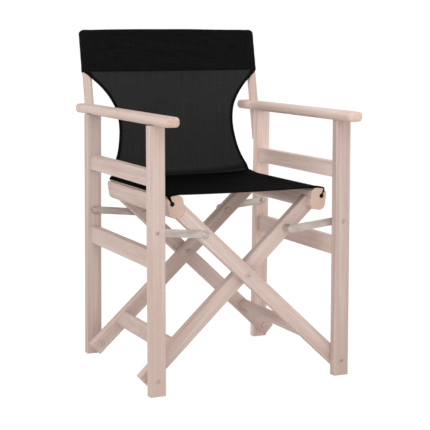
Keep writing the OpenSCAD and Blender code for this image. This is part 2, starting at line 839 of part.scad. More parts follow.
front_leg_right();
rear_leg_right();
armrest_right();
upper_side_rail_right();
lower_side_rail_right();
back_post_right();
arm_dowels_right();
post_screw_right();
front_leg_left();
rear_leg_left();
armrest_left();
upper_side_rail_left();
lower_side_rail_left();
back_post_left();
arm_dowels_left();
post_screw_left();
seat_rail_left();
strut_front_outer();
strut_rear_outer();
stretcher_outer();
seat_rail_right();
strut_front_inner();
strut_rear_inner();
stretcher_inner();
pivot_bolts_right();
pivot_nuts_right();
pivot_washers_right();
pivot_bolts_left();
pivot_nuts_left();
pivot_spacers_left();
cross_bolts();
cross_nuts();
cross_washers();
link_front_left();
link_rear_left();
link_front_right();
link_rear_right();
link_bolts_left();
link_nuts_left();
link_bolts_right();
link_nuts_right();
link_studs_outer();
link_studs_inner();
link_spacers_inner();
seat_hem_left();
seat_hem_right();
seat_rod_left();
seat_rod_right();
seat_cloth_left();
seat_cloth_right();
back_band();
back_mesh();
back_binding();
back_sleeve_left();
back_sleeve_right();
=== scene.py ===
"""Folding chair in washed beech, with a canvas seat, a canvas back band and a mesh back.

The hard parts come from the packed frame and get their finish here. The armrests' rounded
boards, the cloth, its tapes and stitches and the stage are made here, around that frame.
Lengths are in metres.
"""

import json
import math

import bpy
import numpy as np
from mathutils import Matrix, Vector


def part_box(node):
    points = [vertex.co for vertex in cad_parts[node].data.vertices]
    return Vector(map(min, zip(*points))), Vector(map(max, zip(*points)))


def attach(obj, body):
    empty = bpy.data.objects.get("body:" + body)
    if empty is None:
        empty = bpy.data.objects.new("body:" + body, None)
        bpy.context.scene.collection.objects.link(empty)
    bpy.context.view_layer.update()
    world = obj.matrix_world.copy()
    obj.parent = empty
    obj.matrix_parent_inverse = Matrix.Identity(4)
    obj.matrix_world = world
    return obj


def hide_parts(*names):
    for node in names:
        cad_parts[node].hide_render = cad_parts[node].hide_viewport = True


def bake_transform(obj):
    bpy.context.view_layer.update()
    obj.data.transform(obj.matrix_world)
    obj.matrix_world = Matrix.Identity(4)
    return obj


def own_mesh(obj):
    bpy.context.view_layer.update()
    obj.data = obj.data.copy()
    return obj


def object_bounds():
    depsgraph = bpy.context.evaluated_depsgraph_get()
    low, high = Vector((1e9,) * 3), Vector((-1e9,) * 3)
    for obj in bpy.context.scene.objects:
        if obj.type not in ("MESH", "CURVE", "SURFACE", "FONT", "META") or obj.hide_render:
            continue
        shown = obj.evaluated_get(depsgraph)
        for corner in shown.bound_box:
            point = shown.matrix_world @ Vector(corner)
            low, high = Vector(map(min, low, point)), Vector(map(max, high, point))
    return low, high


bl_info = {
    "name": "Folding Chair in Washed Beech",
    "version": (1, 0, 0),
    "blender": (4, 5, 0),
    "location": "3D View > Sidebar > Chair",
    "description": "Finishes the frame of a folding chair and makes its cloth and its stage",
    "category": "Object",
}

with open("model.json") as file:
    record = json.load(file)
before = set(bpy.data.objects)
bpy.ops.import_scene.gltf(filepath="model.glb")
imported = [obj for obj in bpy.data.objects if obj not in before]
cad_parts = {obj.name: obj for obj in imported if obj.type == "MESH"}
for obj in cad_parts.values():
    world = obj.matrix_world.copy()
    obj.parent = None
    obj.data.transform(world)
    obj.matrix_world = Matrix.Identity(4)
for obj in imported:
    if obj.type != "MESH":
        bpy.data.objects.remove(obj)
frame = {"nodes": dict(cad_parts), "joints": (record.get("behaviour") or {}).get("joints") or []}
CAD_LOW, CAD_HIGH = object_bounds()

FORWARD = (0.0, 1.0, 0.0)
LEFT, RIGHT = -1.0, 1.0
SIDES = ((LEFT, "left"), (RIGHT, "right"))

WOOD_NODES = (
    "front_leg_right", "rear_leg_right", "upper_side_rail_right",
    "lower_side_rail_right", "back_post_right", "arm_dowels_right",
    "front_leg_left", "rear_leg_left", "upper_side_rail_left",
    "lower_side_rail_left", "back_post_left", "arm_dowels_left",
    "seat_rail_left", "strut_front_outer", "strut_rear_outer", "stretcher_outer",
    "seat_rail_right", "strut_front_inner", "strut_rear_inner", "stretcher_inner",
)
LINK_NODES = ("link_front_left", "link_rear_left", "link_front_right", "link_rear_right")
ROD_NODES = ("seat_rod_left", "seat_rod_right")
FASTENER_WORDS = ("bolt", "nut", "washer", "spacer", "stud", "screw")
FASTENER_NODES = tuple(
    name for name in sorted(frame["nodes"]) if any(word in name for word in FASTENER_WORDS))

# Painted light and shade: how much lighter or darker each part's beech is painted than the wash and
# wood of the settings, where the lamps light it less or more.
PAINTED_LIGHT_AND_SHADE = {
    "front_leg_left": 0.97, "front_leg_right": 0.86, "rear_leg_left": 0.88,
    "armrest_left": 1.04, "armrest_right": 1.24, "upper_side_rail_left": 0.96,
    "lower_side_rail_left": 0.93, "strut_rear_inner": 0.97, "back_post_left": 0.98,
    "back_post_right": 1.10, "upper_side_rail_right": 1.44, "lower_side_rail_right": 1.27,
    "rear_leg_right": 1.38,
}


# Places read from the frame


def points_of(name):
    """The corners of a CAD node, each one once."""
    found = np.array([v.co for v in frame["nodes"][name].data.vertices], float)
    return np.unique(found.round(6), axis=0)


def long_axis(name):
    """The middle of a CAD node and the direction in which it is longest."""
    found = points_of(name)
    middle = found.mean(axis=0)
    along = np.linalg.svd(found - middle)[2][0]
    return middle, along * (1.0 if along[2] >= 0.0 or abs(along[2]) < 1e-6 else -1.0)


def joint(name):
    """A joint of the packed record."""
    return next(row for row in frame["joints"] if row["name"] == name)


def post_frame():
    """The right back post at its sleeve: the axis' foot, its direction, its front, the length."""
    middle, up = long_axis("back_sleeve_right")
    run = (points_of("back_sleeve_right") - middle) @ up
    front = np.array([0.0, -up[2], up[1]])
    return middle + up * run.min(), up, front, run.max() - run.min()


def fold_shift():
    """How far the left side frame moves towards the right one when the chair folds."""
    foot, cross = (np.array(joint(name)["pos_m"]) for name in ("fold", "cross"))
    run = math.hypot(foot[0] - cross[0], foot[2] - cross[2])
    lean = math.atan2(foot[0] - cross[0], cross[2] - foot[2])
    folded = lean - math.radians(max(joint("fold")["range_deg"]))
    return 2 * run * (math.sin(lean) - math.sin(folded))


# Sizes and colours that a user may change


class WoodFinish(bpy.types.PropertyGroup):
    """Colours and grain of the washed beech."""

    wash: bpy.props.FloatVectorProperty(
        name="Wash", description="Colour of the white wash in the wood", subtype="COLOR",
        size=3, min=0.0, max=1.0, default=(0.705, 0.567, 0.513))
    wood: bpy.props.FloatVectorProperty(
        name="Wood", description="Colour of the beech under the wash", subtype="COLOR",
        size=3, min=0.0, max=1.0, default=(0.585, 0.438, 0.382))
    fibre: bpy.props.FloatVectorProperty(
        name="Fibres", description="Colour of the darker fibres and flecks", subtype="COLOR",
        size=3, min=0.0, max=1.0, default=(0.42, 0.27, 0.21))
    end_grain: bpy.props.FloatVectorProperty(
        name="End grain", description="Colour of the sawn ends", subtype="COLOR",
        size=3, min=0.0, max=1.0, default=(0.655, 0.465, 0.36))
    ring_pitch: bpy.props.FloatProperty(
        name="Ring pitch", description="Distance between two growth rings",
        unit="LENGTH", min=0.001, max=0.01, precision=4, default=0.0034)
    edge_round: bpy.props.FloatProperty(
        name="Edge rounding", description="How far the sanding has rounded the edges",
        unit="LENGTH", min=0.0002, max=0.004, precision=4, default=0.0014)
    arm_edge: bpy.props.FloatProperty(
        name="Armrest edges", description="Radius of the long edges of the armrests",
        unit="LENGTH", min=0.002, max=0.011, precision=4, default=0.0092)
    arm_nose: bpy.props.FloatProperty(
        name="Armrest nose", description="Radius of the armrests' outer front corners from above",
        unit="LENGTH", min=0.010, max=0.020, precision=4, default=0.019)


class MetalFinish(bpy.types.PropertyGroup):
    """Colours of the links and the bolts."""

    link: bpy.props.FloatVectorProperty(
        name="Links", description="Colour of the flat links", subtype="COLOR",
        size=3, min=0.0, max=1.0, default=(0.57, 0.495, 0.445))
    bolt: bpy.props.FloatVectorProperty(
        name="Bolts", description="Colour of the bolt heads, nuts and washers", subtype="COLOR",
        size=3, min=0.0, max=1.0, default=(0.66, 0.53, 0.465))


class ClothCut(bpy.types.PropertyGroup):
    """Sizes and colours of the canvas, the mesh and the tape."""

    canvas: bpy.props.FloatVectorProperty(
        name="Canvas", description="Colour of the canvas", subtype="COLOR",
        size=3, min=0.0, max=1.0, default=(0.0048, 0.0048, 0.0049))
    mesh: bpy.props.FloatVectorProperty(
        name="Mesh", description="Colour of the mesh", subtype="COLOR",
        size=3, min=0.0, max=1.0, default=(0.020, 0.020, 0.020))
    single: bpy.props.FloatProperty(
        name="Single layer", description="Thickness of one layer of canvas",
        unit="LENGTH", min=0.0006, max=0.002, precision=4, default=0.0013)
    double: bpy.props.FloatProperty(
        name="Double layer", description="Thickness of the canvas where it is folded and sewn",
        unit="LENGTH", min=0.0012, max=0.0026, precision=4, default=0.0024)
    mesh_layer: bpy.props.FloatProperty(
        name="Mesh layer", description="Thickness of the mesh",
        unit="LENGTH", min=0.0005, max=0.0018, precision=4, default=0.0010)
    canvas_pitch: bpy.props.FloatProperty(
        name="Canvas threads", description="Distance between two threads of the canvas",
        unit="LENGTH", min=0.0004, max=0.003, precision=4, default=0.0009)
    mesh_pitch: bpy.props.FloatProperty(
        name="Mesh threads", description="Distance between two cords of the mesh",
        unit="LENGTH", min=0.0006, max=0.004, precision=4, default=0.0014)
    sag_front: bpy.props.FloatProperty(
        name="Seat sag in front", description="How far the front edge of the seat hangs down",
        unit="LENGTH", min=0.0, max=0.03, precision=4, default=0.0020)
    sag_rear: bpy.props.FloatProperty(
        name="Seat sag at the back", description="How far the back edge of the seat hangs down",
        unit="LENGTH", min=0.0, max=0.03, precision=4, default=0.0095)
    back_sag: bpy.props.FloatProperty(
        name="Back sag", description="How far the mesh hollows behind the straight line",
        unit="LENGTH", min=0.0, max=0.03, precision=4, default=0.0050)
    binding: bpy.props.FloatProperty(
        name="Binding", description="Width of the tape along the edges of the mesh",
        unit="LENGTH", min=0.004, max=0.012, precision=4, default=0.0070)
    rolled_hem: bpy.props.FloatProperty(
        name="Rolled hem", description="Extra thickness of the seat's front hem over its rails",
        unit="LENGTH", min=0.0, max=0.003, precision=4, default=0.0016)
    hem: bpy.props.FloatProperty(
        name="Hem", description="Width of the folded edges of the canvas",
        unit="LENGTH", min=0.008, max=0.03, precision=4, default=0.016)
    stitch: bpy.props.FloatProperty(
        name="Stitch", description="Length of one stitch",
        unit="LENGTH", min=0.0015, max=0.006, precision=4, default=0.0030)


class StageLook(bpy.types.PropertyGroup):
    """Camera, lamps and floor."""

    lens: bpy.props.FloatProperty(
        name="Lens", description="Focal length in millimetres on a 36 mm sensor",
        min=20.0, max=300.0, default=109.85)
    frame_shift: bpy.props.FloatProperty(
        name="Frame shift", description="Rise of the camera's frame, as a share of its width",
        min=-0.3, max=0.3, default=-0.0639)
    turn: bpy.props.FloatProperty(
        name="Turn", description="Direction of the camera about the vertical",
        subtype="ANGLE", default=math.radians(-23.967))
    tilt: bpy.props.FloatProperty(
        name="Tilt", description="Angle of the camera from looking straight down",
        subtype="ANGLE", default=math.radians(83.187))
    stand: bpy.props.FloatVectorProperty(
        name="Stand", description="Place of the camera", subtype="TRANSLATION",
        size=3, default=(-1.3544, -3.0674, 0.8613))
    floor: bpy.props.FloatVectorProperty(
        name="Floor", description="Colour of the floor", subtype="COLOR",
        size=3, min=0.0, max=1.0, default=(0.86, 0.86, 0.86))
    key: bpy.props.FloatProperty(
        name="Key lamp", description="Power of the large lamp above the front",
        min=0.0, max=900.0, default=118.0)
    side: bpy.props.FloatProperty(
        name="Side lamp", description="Power of the lamp on the left",
        min=0.0, max=900.0, default=125.0)
    fill: bpy.props.FloatProperty(
        name="Fill lamp", description="Power of the lamp on the far side",
        min=0.0, max=500.0, default=11.0)
    sky: bpy.props.FloatProperty(
        name="Room light", description="Strength of the even light of the room",
        min=0.0, max=2.0, default=0.76)


# Node trees

COLOUR, VALUE, VECTOR = "NodeSocketColor", "NodeSocketFloat", "NodeSocketVector"
GEOMETRY = "NodeSocketGeometry"

# Colours that aren't settings, each with its alpha.
WHITE = (1.0, 1.0, 1.0, 1.0)
BLEACHED_BEECH = (0.80, 0.72, 0.68, 1.0)
ROD_BLACK, ROD_SCUFFED = (0.0035, 0.0035, 0.0037, 1.0), (0.0080, 0.0080, 0.0085, 1.0)
THREAD_BLACK, THREAD_WORN = (0.0028, 0.0028, 0.0029, 1.0), (0.0065, 0.0065, 0.0067, 1.0)


class Wire:
    """What one output of a node gives. Arithmetic on it adds Math nodes."""

    def __init__(self, socket):
        self.socket = socket
        self.tree = socket.id_data

    def __add__(self, other):
        return calc("ADD", self, other)

    def __sub__(self, other):
        return calc("SUBTRACT", self, other)

    def __rsub__(self, other):
        return calc("SUBTRACT", other, self)

    def __mul__(self, other):
        return calc("MULTIPLY", self, other)

    def __truediv__(self, other):
        return calc("DIVIDE", self, other)

    def __pow__(self, other):
        return calc("POWER", self, other)

    def clamped(self):
        """The same value, which its Math node now holds between 0 and 1."""
        self.socket.node.use_clamp = True
        return self


def node(tree, kind, feeds=(), out=0, **settings):
    """Adds a node. feeds pairs an input with a value, or with the wire that drives it.

    Returns the wire from one output, or the wires from all of them by name with out=None.
    """
    made = tree.nodes.new(kind)
    for name, value in settings.items():
        setattr(made, name, value)
    for socket, value in dict(feeds).items():
        if isinstance(value, Wire):
            tree.links.new(value.socket, made.inputs[socket])
        else:
            made.inputs[socket].default_value = value
    if out is None:
        return {socket.name: Wire(socket) for socket in made.outputs}
    return Wire(made.outputs[out])


def calc(operation, *values):
    """A Math node's result."""
    tree = next(value.tree for value in values if isinstance(value, Wire))
    return node(tree, "ShaderNodeMath", enumerate(values), operation=operation)


def vector_calc(operation, first, second=(0.0, 0.0, 0.0), out=0):
    """A Vector Math node's result, or its plain value with out=1."""
    return node(first.tree, "ShaderNodeVectorMath", {0: first, 1: second}, out,
                operation=operation)


def parts_of(vector):
    """X, Y and Z of a vector."""
    return list(node(vector.tree, "ShaderNodeSeparateXYZ", {0: vector}, None).values())


def mix(share, first, second):
    """Two colours mixed by a share from 0 to 1."""
    return node(share.tree, "ShaderNodeMix", {0: share, 6: first, 7: second}, 2, data_type="RGBA")


def step(value, low, high):
    """0 at low, 1 at high, and a smooth change between them."""
    return node(value.tree, "ShaderNodeMapRange", {0: value, 1: low, 2: high},
                interpolation_type="SMOOTHSTEP")


def noise(place, scale, detail=2.0, roughness=0.5, out=0):
    """A noise pattern's value, or its colour with out=1. scale is how fine it is each way."""
    return node(place.tree, "ShaderNodeTexNoise",
                {"Vector": vector_calc("MULTIPLY", place, scale), "Scale": 1.0,
                 "Detail": detail, "Roughness": roughness}, out)


def new_group(name, inputs, outputs, kind="ShaderNodeTree"):
    """A node group with sockets by name and kind, and the wires from its inputs."""
    tree = bpy.data.node_groups.new(name, kind)
    for sockets, way in ((inputs, "INPUT"), (outputs, "OUTPUT")):
        for label, socket_kind in sockets.items():
            tree.interface.new_socket(label, in_out=way, socket_type=socket_kind)
    return tree, node(tree, "NodeGroupInput", out=None)


def group_once(build):
    """The node group that a function builds, built the first time it is asked for."""
    name = build.__doc__.split(".")[0]
    return bpy.data.node_groups.get(name) or build(name)


def shared(tree, build, feeds):
    """The outputs of a shared node group, by name."""
    return node(tree, "ShaderNodeGroup", feeds, None, node_tree=group_once(build))


def beech_grain(name):
    """Washed beech grain. Rings about a pith, fibres, flecks and the wash, along Z."""
    tree, given = new_group(
        name, {"Place": VECTOR, "Facing": VECTOR, "Edge": VALUE, "Wash": COLOUR, "Wood": COLOUR,
               "Fibre": COLOUR, "End grain": COLOUR, "Ring pitch": VALUE},
        {"Colour": COLOUR, "Roughness": VALUE, "Height": VALUE})
    place, wood, dark = given["Place"], given["Wood"], given["Fibre"]

    def pattern(across, along, *details, **more):
        return noise(place, (across, across, along), *details, **more)

    bend = vector_calc("SUBTRACT", pattern(11.0, 1.3, out=1), (0.5, 0.5, 0.5))
    bent = vector_calc("ADD", place, vector_calc("MULTIPLY", bend, (0.022, 0.022, 0.0)))
    from_pith = vector_calc("LENGTH", vector_calc("MULTIPLY", bent, (1.0, 1.0, 0.0)), out=1)
    ring = calc("FRACT", from_pith / given["Ring pitch"]) ** 2.2
    broad = pattern(26.0, 2.0, 3.0)
    patch = pattern(7.0, 1.1, 1.0)
    streak = pattern(85.0, 1.7, 3.0, 0.6)
    fine = pattern(230.0, 5.0)
    fibre = pattern(700.0, 11.0, 2.0, 0.6)
    fleck = step(pattern(520.0, 95.0, 1.0), 0.66, 0.74)
    pores = step(pattern(900.0, 40.0, 1.0), 0.56, 0.70)
    end = step(calc("ABSOLUTE", parts_of(given["Facing"])[2]), 0.75, 0.95)

    tone = given["Wash"]
    for share, layer in (
            (step(broad, 0.36, 0.66), wood), (step(patch, 0.3, 0.75) * 0.45, wood),
            (step(streak, 0.46, 0.62) * 0.5, wood),
            (step(streak, 0.52, 0.36) * 0.22, BLEACHED_BEECH),
            (ring * 0.20, dark), (step(fine, 0.45, 0.75) * 0.24, dark),
            (step(fibre, 0.5, 0.8) * 0.30, dark), ((1.0 - end) * 0.42 * fleck, dark),
            (end * 0.7, given["End grain"]), (end * (ring * 0.30 + pores * 0.45), dark),
            (given["Edge"] * 0.35, wood)):
        tone = mix(share, tone, layer)
    rough = fibre * 0.16 + 0.52 + end * 0.12
    height = fibre * 0.6 + fine * 0.5 + ring * -0.25 + fleck * -0.3
    node(tree, "NodeGroupOutput", {"Colour": tone, "Roughness": rough, "Height": height}, None)
    return tree


def eased_edges(name):
    """Eased edges. The normal of a rounded edge, and a mask of where the edges are."""
    tree, given = new_group(name, {"Radius": VALUE}, {"Normal": VECTOR, "Edge": VALUE})
    rounded = node(tree, "ShaderNodeBevel", {"Radius": given["Radius"]}, samples=4)
    plain = node(tree, "ShaderNodeNewGeometry", out="Normal")
    edge = step(1.0 - vector_calc("DOT_PRODUCT", rounded, plain, out=1), 0.01, 0.16)
    node(tree, "NodeGroupOutput", {"Normal": rounded, "Edge": edge}, None)
    return tree


def plain_weave(name):
    """Plain weave. Threads that cross over and under each other, and slubs along them."""
    tree, given = new_group(name, {"Cloth": VECTOR, "Pitch": VALUE},
                            {"Height": VALUE, "Gap": VALUE, "Streak": VALUE})
    cloth = given["Cloth"]
    counts = [part / given["Pitch"] for part in parts_of(cloth)[:2]]
    across, along = (calc("SINE", calc("FRACT", count) * math.pi) for count in counts)
    cell = calc("FLOOR", counts[0]) + calc("FLOOR", counts[1])
    over = calc("FRACT", cell * 0.5) * 2.0
    warp = across * (along * 0.45 + 0.55)
    weft = along * (across * 0.45 + 0.55)
    height = node(tree, "ShaderNodeMix", {0: over, 2: weft, 3: warp})
    gap = step(1.0 - calc("MAXIMUM", across, along), 0.25, 0.7)
    wide = noise(cloth, (26.0, 210.0, 1.0), 3.0)
    tall = noise(cloth, (260.0, 34.0, 1.0))
    streak = (tall - 0.5) * 0.5 + wide - 0.5
    node(tree, "NodeGroupOutput", {"Height": height, "Gap": gap, "Streak": streak}, None)
    return tree


# Materials

METAL_EDGE = 0.0005


def new_material(name):
    """An empty material and its node tree."""
    material = bpy.data.materials.new(name)
    material.use_nodes = True
    material.node_tree.nodes.clear()
    return material, material.node_tree


def surface(material, colour, rough, height, relief, gloss=0.5, metal=0.0, normal=None):
    """Closes a material: a Principled shader over a bump, whose relief is strength and depth."""
    tree = material.node_tree
    feeds = {"Height": height, "Strength": relief[0], "Distance": relief[1]}
    if normal:
        feeds["Normal"] = normal
    bump = node(tree, "ShaderNodeBump", feeds)
    shader = node(tree, "ShaderNodeBsdfPrincipled", {
        "Base Color": colour, "Roughness": rough, "Normal": bump, "Metallic": metal,
        "Specular IOR Level": gloss})
    node(tree, "ShaderNodeOutputMaterial", {0: shader}, None)
    return material


def solid(colour, bright=1.0):
    """A colour made brighter or darker by a factor, with its alpha."""
    return (*(bright * part for part in colour), 1.0)


def laid_along(tree, source, along, kind, more=()):
    """Places on a piece, or the directions it faces, turned to bring one direction onto Z."""
    turn = Vector(along).rotation_difference(Vector((0.0, 0.0, 1.0))).to_euler()
    where = node(tree, "ShaderNodeTexCoord", out=source)
    return node(tree, "ShaderNodeMapping", {"Vector": where, "Rotation": turn, **dict(more)},
                vector_type=kind)


def wood_material(name, finish, along, offset, bright=1.0):
    """Beech whose grain runs along a direction, cut from its own place in the log."""
    material, tree = new_material(name)
    eased = shared(tree, eased_edges, {"Radius": finish.edge_round})
    grain = shared(tree, beech_grain, {
        "Place": laid_along(tree, "Object", along, "POINT", {"Location": offset}),
        "Facing": laid_along(tree, "Normal", along, "VECTOR"), "Edge": eased["Edge"],
        "Wash": solid(finish.wash, bright), "Wood": solid(finish.wood, bright),
        "Fibre": solid(finish.fibre), "End grain": solid(finish.end_grain, bright),
        "Ring pitch": finish.ring_pitch})
    return surface(material, grain["Colour"], grain["Roughness"], grain["Height"],
                   (0.22, 0.0004), gloss=0.35, normal=eased["Normal"])


def metal_material(name, colour, along, roughness, shine=0.85, recess=0.0, rings=0.0):
    """Brushed zinc-plated steel, with its scratches along a direction.

    recess is how deep a hollow such as a bolt's socket is looked into to darken it, and rings is
    the pitch of stacked washers.
    """
    material, tree = new_material(name)
    place = laid_along(tree, "Object", along, "POINT")
    scratch = noise(place, (1800.0, 1800.0, 30.0), 3.0)
    cloud = noise(place, (70.0, 70.0, 25.0), 3.0)
    eased = shared(tree, eased_edges, {"Radius": METAL_EDGE})
    worn = solid(min(1.0, 1.35 * part) for part in colour)
    shade = solid(colour, 0.22)
    tone = mix(step(cloud, 0.35, 0.7), solid(colour), solid(colour, 0.72))
    tone = mix(eased["Edge"] * 0.5, tone, worn)
    # Painted shade in hollows, such as a bolt's socket.
    if recess:
        hollow = node(tree, "ShaderNodeAmbientOcclusion", {"Distance": recess}, "AO",
                      samples=8, only_local=True)
        tone = mix(step(hollow, 0.70, 0.25), tone, shade)
    # Painted shade in the grooves between stacked washers.
    if rings:
        turn = calc("FRACT", parts_of(place)[2] / rings)
        tone = mix(step(calc("ABSOLUTE", turn - 0.5), 0.34, 0.48), tone, shade)
    rough = scratch * 0.16 + cloud * 0.18 + (roughness - 0.15)
    return surface(material, tone, rough, scratch, (0.12, 0.0002), metal=shine,
                   normal=eased["Normal"])


def woven(tree, pitch):
    """The measure of the cloth that a material is on, and the outputs of its weave."""
    cloth = node(tree, "ShaderNodeUVMap", uv_map="cloth")
    return cloth, shared(tree, plain_weave, {"Cloth": cloth, "Pitch": pitch})


def canvas_material(name, cut, bright=1.0, gloss=0.05):
    """Black canvas in plain weave, on the cloth's own measure in metres."""
    material, tree = new_material(name)
    weave = woven(tree, cut.canvas_pitch)[1]
    dark, pale = solid(cut.canvas, 0.55 * bright), solid(cut.canvas, 1.9 * bright)
    tone = mix((weave["Streak"] * 1.6 + 0.5).clamped(), dark, pale)
    tone = mix(weave["Gap"] * 0.6, tone, dark)
    rough = weave["Height"] * -0.1 + 0.92
    height = weave["Streak"] * 0.8 + weave["Height"]
    return surface(material, tone, rough, height, (0.35, 0.00025), gloss)


def mesh_material(name, cut):
    """Dark grey mesh: upright cords with thin wefts between them, darker where it is doubled."""
    material, tree = new_material(name)
    cloth, weave = woven(tree, cut.mesh_pitch)
    high = parts_of(cloth)[1]
    ribs = noise(cloth, (420.0, 9.0, 1.0))
    rows = noise(cloth, (12.0, 330.0, 1.0))
    patchy = noise(cloth, (55.0, 160.0, 1.0))
    line = (ribs - 0.5) * 0.9 + (rows - 0.5) * 0.5
    strip = (patchy - 0.5) * 0.010 + high
    doubled = step(strip, 0.0035, 0.0075) * (1.0 - step(strip, 0.013, 0.026))
    # rolled marks the lowest few millimetres of the mesh, where a highlight is painted along the
    # seam.
    rolled = 1.0 - step(high, 0.0020, 0.0045)
    tone = mix((line * 1.3 + 0.5).clamped(), solid(cut.mesh, 0.62), solid(cut.mesh, 1.45))
    for share, bright in ((weave["Gap"] * 0.75, 0.25), (doubled * 0.85, 0.50),
                          (rolled * 0.55, 1.9)):
        tone = mix(share, tone, solid(cut.mesh, bright))
    rough = weave["Height"] * -0.12 + 0.82
    height = line * 0.6 + weave["Height"]
    return surface(material, tone, rough, height, (0.4, 0.0004), gloss=0.12)


def rod_material(name):
    """Black plastic rod with fine drawing lines."""
    material, tree = new_material(name)
    place = node(tree, "ShaderNodeTexCoord", out="Object")
    lines = noise(place, (900.0, 20.0, 900.0))
    scuff = noise(place, (120.0, 60.0, 120.0), 3.0)
    tone = mix(step(scuff, 0.45, 0.75), ROD_BLACK, ROD_SCUFFED)
    return surface(material, tone, scuff * 0.3 + 0.50, lines, (0.15, 0.0002), gloss=0.15)


def thread_material(name):
    """Twisted matt black thread."""
    material, tree = new_material(name)
    place = node(tree, "ShaderNodeTexCoord", out="Object")
    twist = noise(place, (2600.0, 2600.0, 2600.0), 1.0)
    tone = mix(twist, THREAD_BLACK, THREAD_WORN)
    return surface(material, tone, twist * 0.15 + 0.8, twist, (0.4, 0.0001), gloss=0.05)


def material_once(name, make, *details, **more):
    """The material of a name, made the first time it is asked for."""
    return bpy.data.materials.get(name) or make(name, *details, **more)


def dress(target, material):
    """Gives an object one material in all its slots."""
    target.data.materials.clear()
    target.data.materials.append(material)


# Cloth


def add_object(name, data):
    """A new object in the scene, at the origin."""
    made = bpy.data.objects.new(name, data)
    bpy.context.scene.collection.objects.link(made)
    return made


def add_piece(name, points, faces, material):
    """A smooth mesh object at the origin, with one material and its slot."""
    mesh = bpy.data.meshes.new(name)
    mesh.from_pydata([tuple(point) for point in points], [], faces)
    mesh.polygons.foreach_set("use_smooth", np.ones(len(mesh.polygons), bool))
    mesh.update()
    made = add_object(name, mesh)
    dress(made, material)
    return made


def cloth_piece(name, middle, thick, measure, material):
    """A closed sheet about a grid of points, with the flat cloth's measure as its UV map."""
    points, faces, flat = cloth_sheet(middle, thick, measure)
    made = add_piece(name, points, faces, material)
    layer = made.data.uv_layers.new(name="cloth")
    corner = np.zeros(len(made.data.loops), int)
    made.data.loops.foreach_get("vertex_index", corner)
    layer.data.foreach_set("uv", flat[corner].ravel())
    return made


def unit(vectors):
    """Vectors brought to a length of 1."""
    return vectors / np.maximum(np.linalg.norm(vectors, axis=-1, keepdims=True), 1e-12)


def grid_normals(middle):
    """The normal of a grid of points at each of them, with its sides taken in order."""
    return unit(np.cross(np.gradient(middle, axis=0), np.gradient(middle, axis=1)))


def cloth_measure(middle):
    """Each point's place on the flat cloth: the mean lengths of rows and columns up to it."""
    def run(points):
        steps = np.linalg.norm(np.diff(points, axis=0), axis=2).mean(axis=1)
        return np.concatenate([[0.0], np.cumsum(steps)])
    across, along = run(middle), run(middle.swapaxes(0, 1))
    return np.stack(np.meshgrid(across, along, indexing="ij"), axis=2)


def cloth_sheet(middle, thick, measure):
    """Points, faces and UVs of a closed sheet with rounded rims about a grid of middle points."""
    rows, columns = middle.shape[:2]
    thick = np.broadcast_to(np.asarray(thick, float), (rows, columns))[..., None]
    normal = grid_normals(middle)
    count = rows * columns
    index = np.arange(count).reshape(rows, columns)
    rim = np.concatenate([index[:-1, 0], index[-1, :-1], index[:0:-1, -1], index[0, :0:-1]])
    outward = np.zeros_like(middle)
    for axis, sign, where in ((0, -1, np.s_[0, :]), (0, 1, np.s_[-1, :]),
                              (1, -1, np.s_[:, 0]), (1, 1, np.s_[:, -1])):
        outward[where] += sign * unit(np.gradient(middle, axis=axis)[where])
    edge = unit(outward.reshape(-1, 3)[rim]) * thick.reshape(-1, 1)[rim] / 2
    points = np.concatenate([
        (middle + normal * thick / 2).reshape(-1, 3), (middle - normal * thick / 2).reshape(-1, 3),
        middle.reshape(-1, 3)[rim] + edge])
    square = [index[i, j].ravel() for i, j in (
        (np.s_[:-1], np.s_[:-1]), (np.s_[1:], np.s_[:-1]), (np.s_[1:], np.s_[1:]),
        (np.s_[:-1], np.s_[1:]))]
    after = np.roll(rim, -1)
    ring = 2 * count + np.arange(len(rim))
    ring_after = np.roll(ring, -1)
    faces = np.concatenate([
        np.stack(square, axis=1), np.stack(square[::-1], axis=1) + count,
        np.stack([after, rim, ring, ring_after], axis=1),
        np.stack([ring_after, ring, rim + count, after + count], axis=1)])
    flat = measure.reshape(-1, 2)
    return points, faces.tolist(), np.concatenate([flat, flat, flat[rim]])


def run_along(line):
    """The distance along a line of points up to each of them."""
    return np.concatenate([[0.0], np.cumsum(np.linalg.norm(np.diff(line, axis=0), axis=1))])


def at_distances(line, distances):
    """The places on a line of points at distances along it."""
    run = run_along(line)
    return np.stack([np.interp(distances, run, column) for column in line.T], axis=1)


def even(line, count):
    """A line of points again, with count points at even distances."""
    return at_distances(line, np.linspace(0.0, run_along(line)[-1], count))


def soften(line, times):
    """A line of points with its corners eased, its ends held."""
    line = np.array(line, float)
    for _ in range(times):
        line[1:-1] = (line[:-2] + 2 * line[1:-1] + line[2:]) / 4
    return line


def smooth_step(value, low, high):
    """0 up to low, 1 from high, and a smooth rise between them."""
    t = np.clip((np.asarray(value, float) - low) / (high - low), 0.0, 1.0)
    return t * t * (3 - 2 * t)


def spline(at, known, values):
    """A natural cubic through known values."""
    known, values = np.asarray(known, float), np.asarray(values, float)
    gaps = np.diff(known)
    size = len(known)
    left = np.eye(size)
    right = np.zeros(size)
    for i in range(1, size - 1):
        left[i, i - 1:i + 2] = gaps[i - 1], 2 * (gaps[i - 1] + gaps[i]), gaps[i]
        right[i] = 6 * ((values[i + 1] - values[i]) / gaps[i]
                        - (values[i] - values[i - 1]) / gaps[i - 1])
    bend = np.linalg.solve(left, right)
    i = np.clip(np.searchsorted(known, at) - 1, 0, size - 2)
    low, high, gap = at - known[i], known[i + 1] - at, gaps[i]
    return ((bend[i] * high ** 3 + bend[i + 1] * low ** 3) / (6 * gap)
            + (values[i] / gap - bend[i] * gap / 6) * high
            + (values[i + 1] / gap - bend[i + 1] * gap / 6) * low)


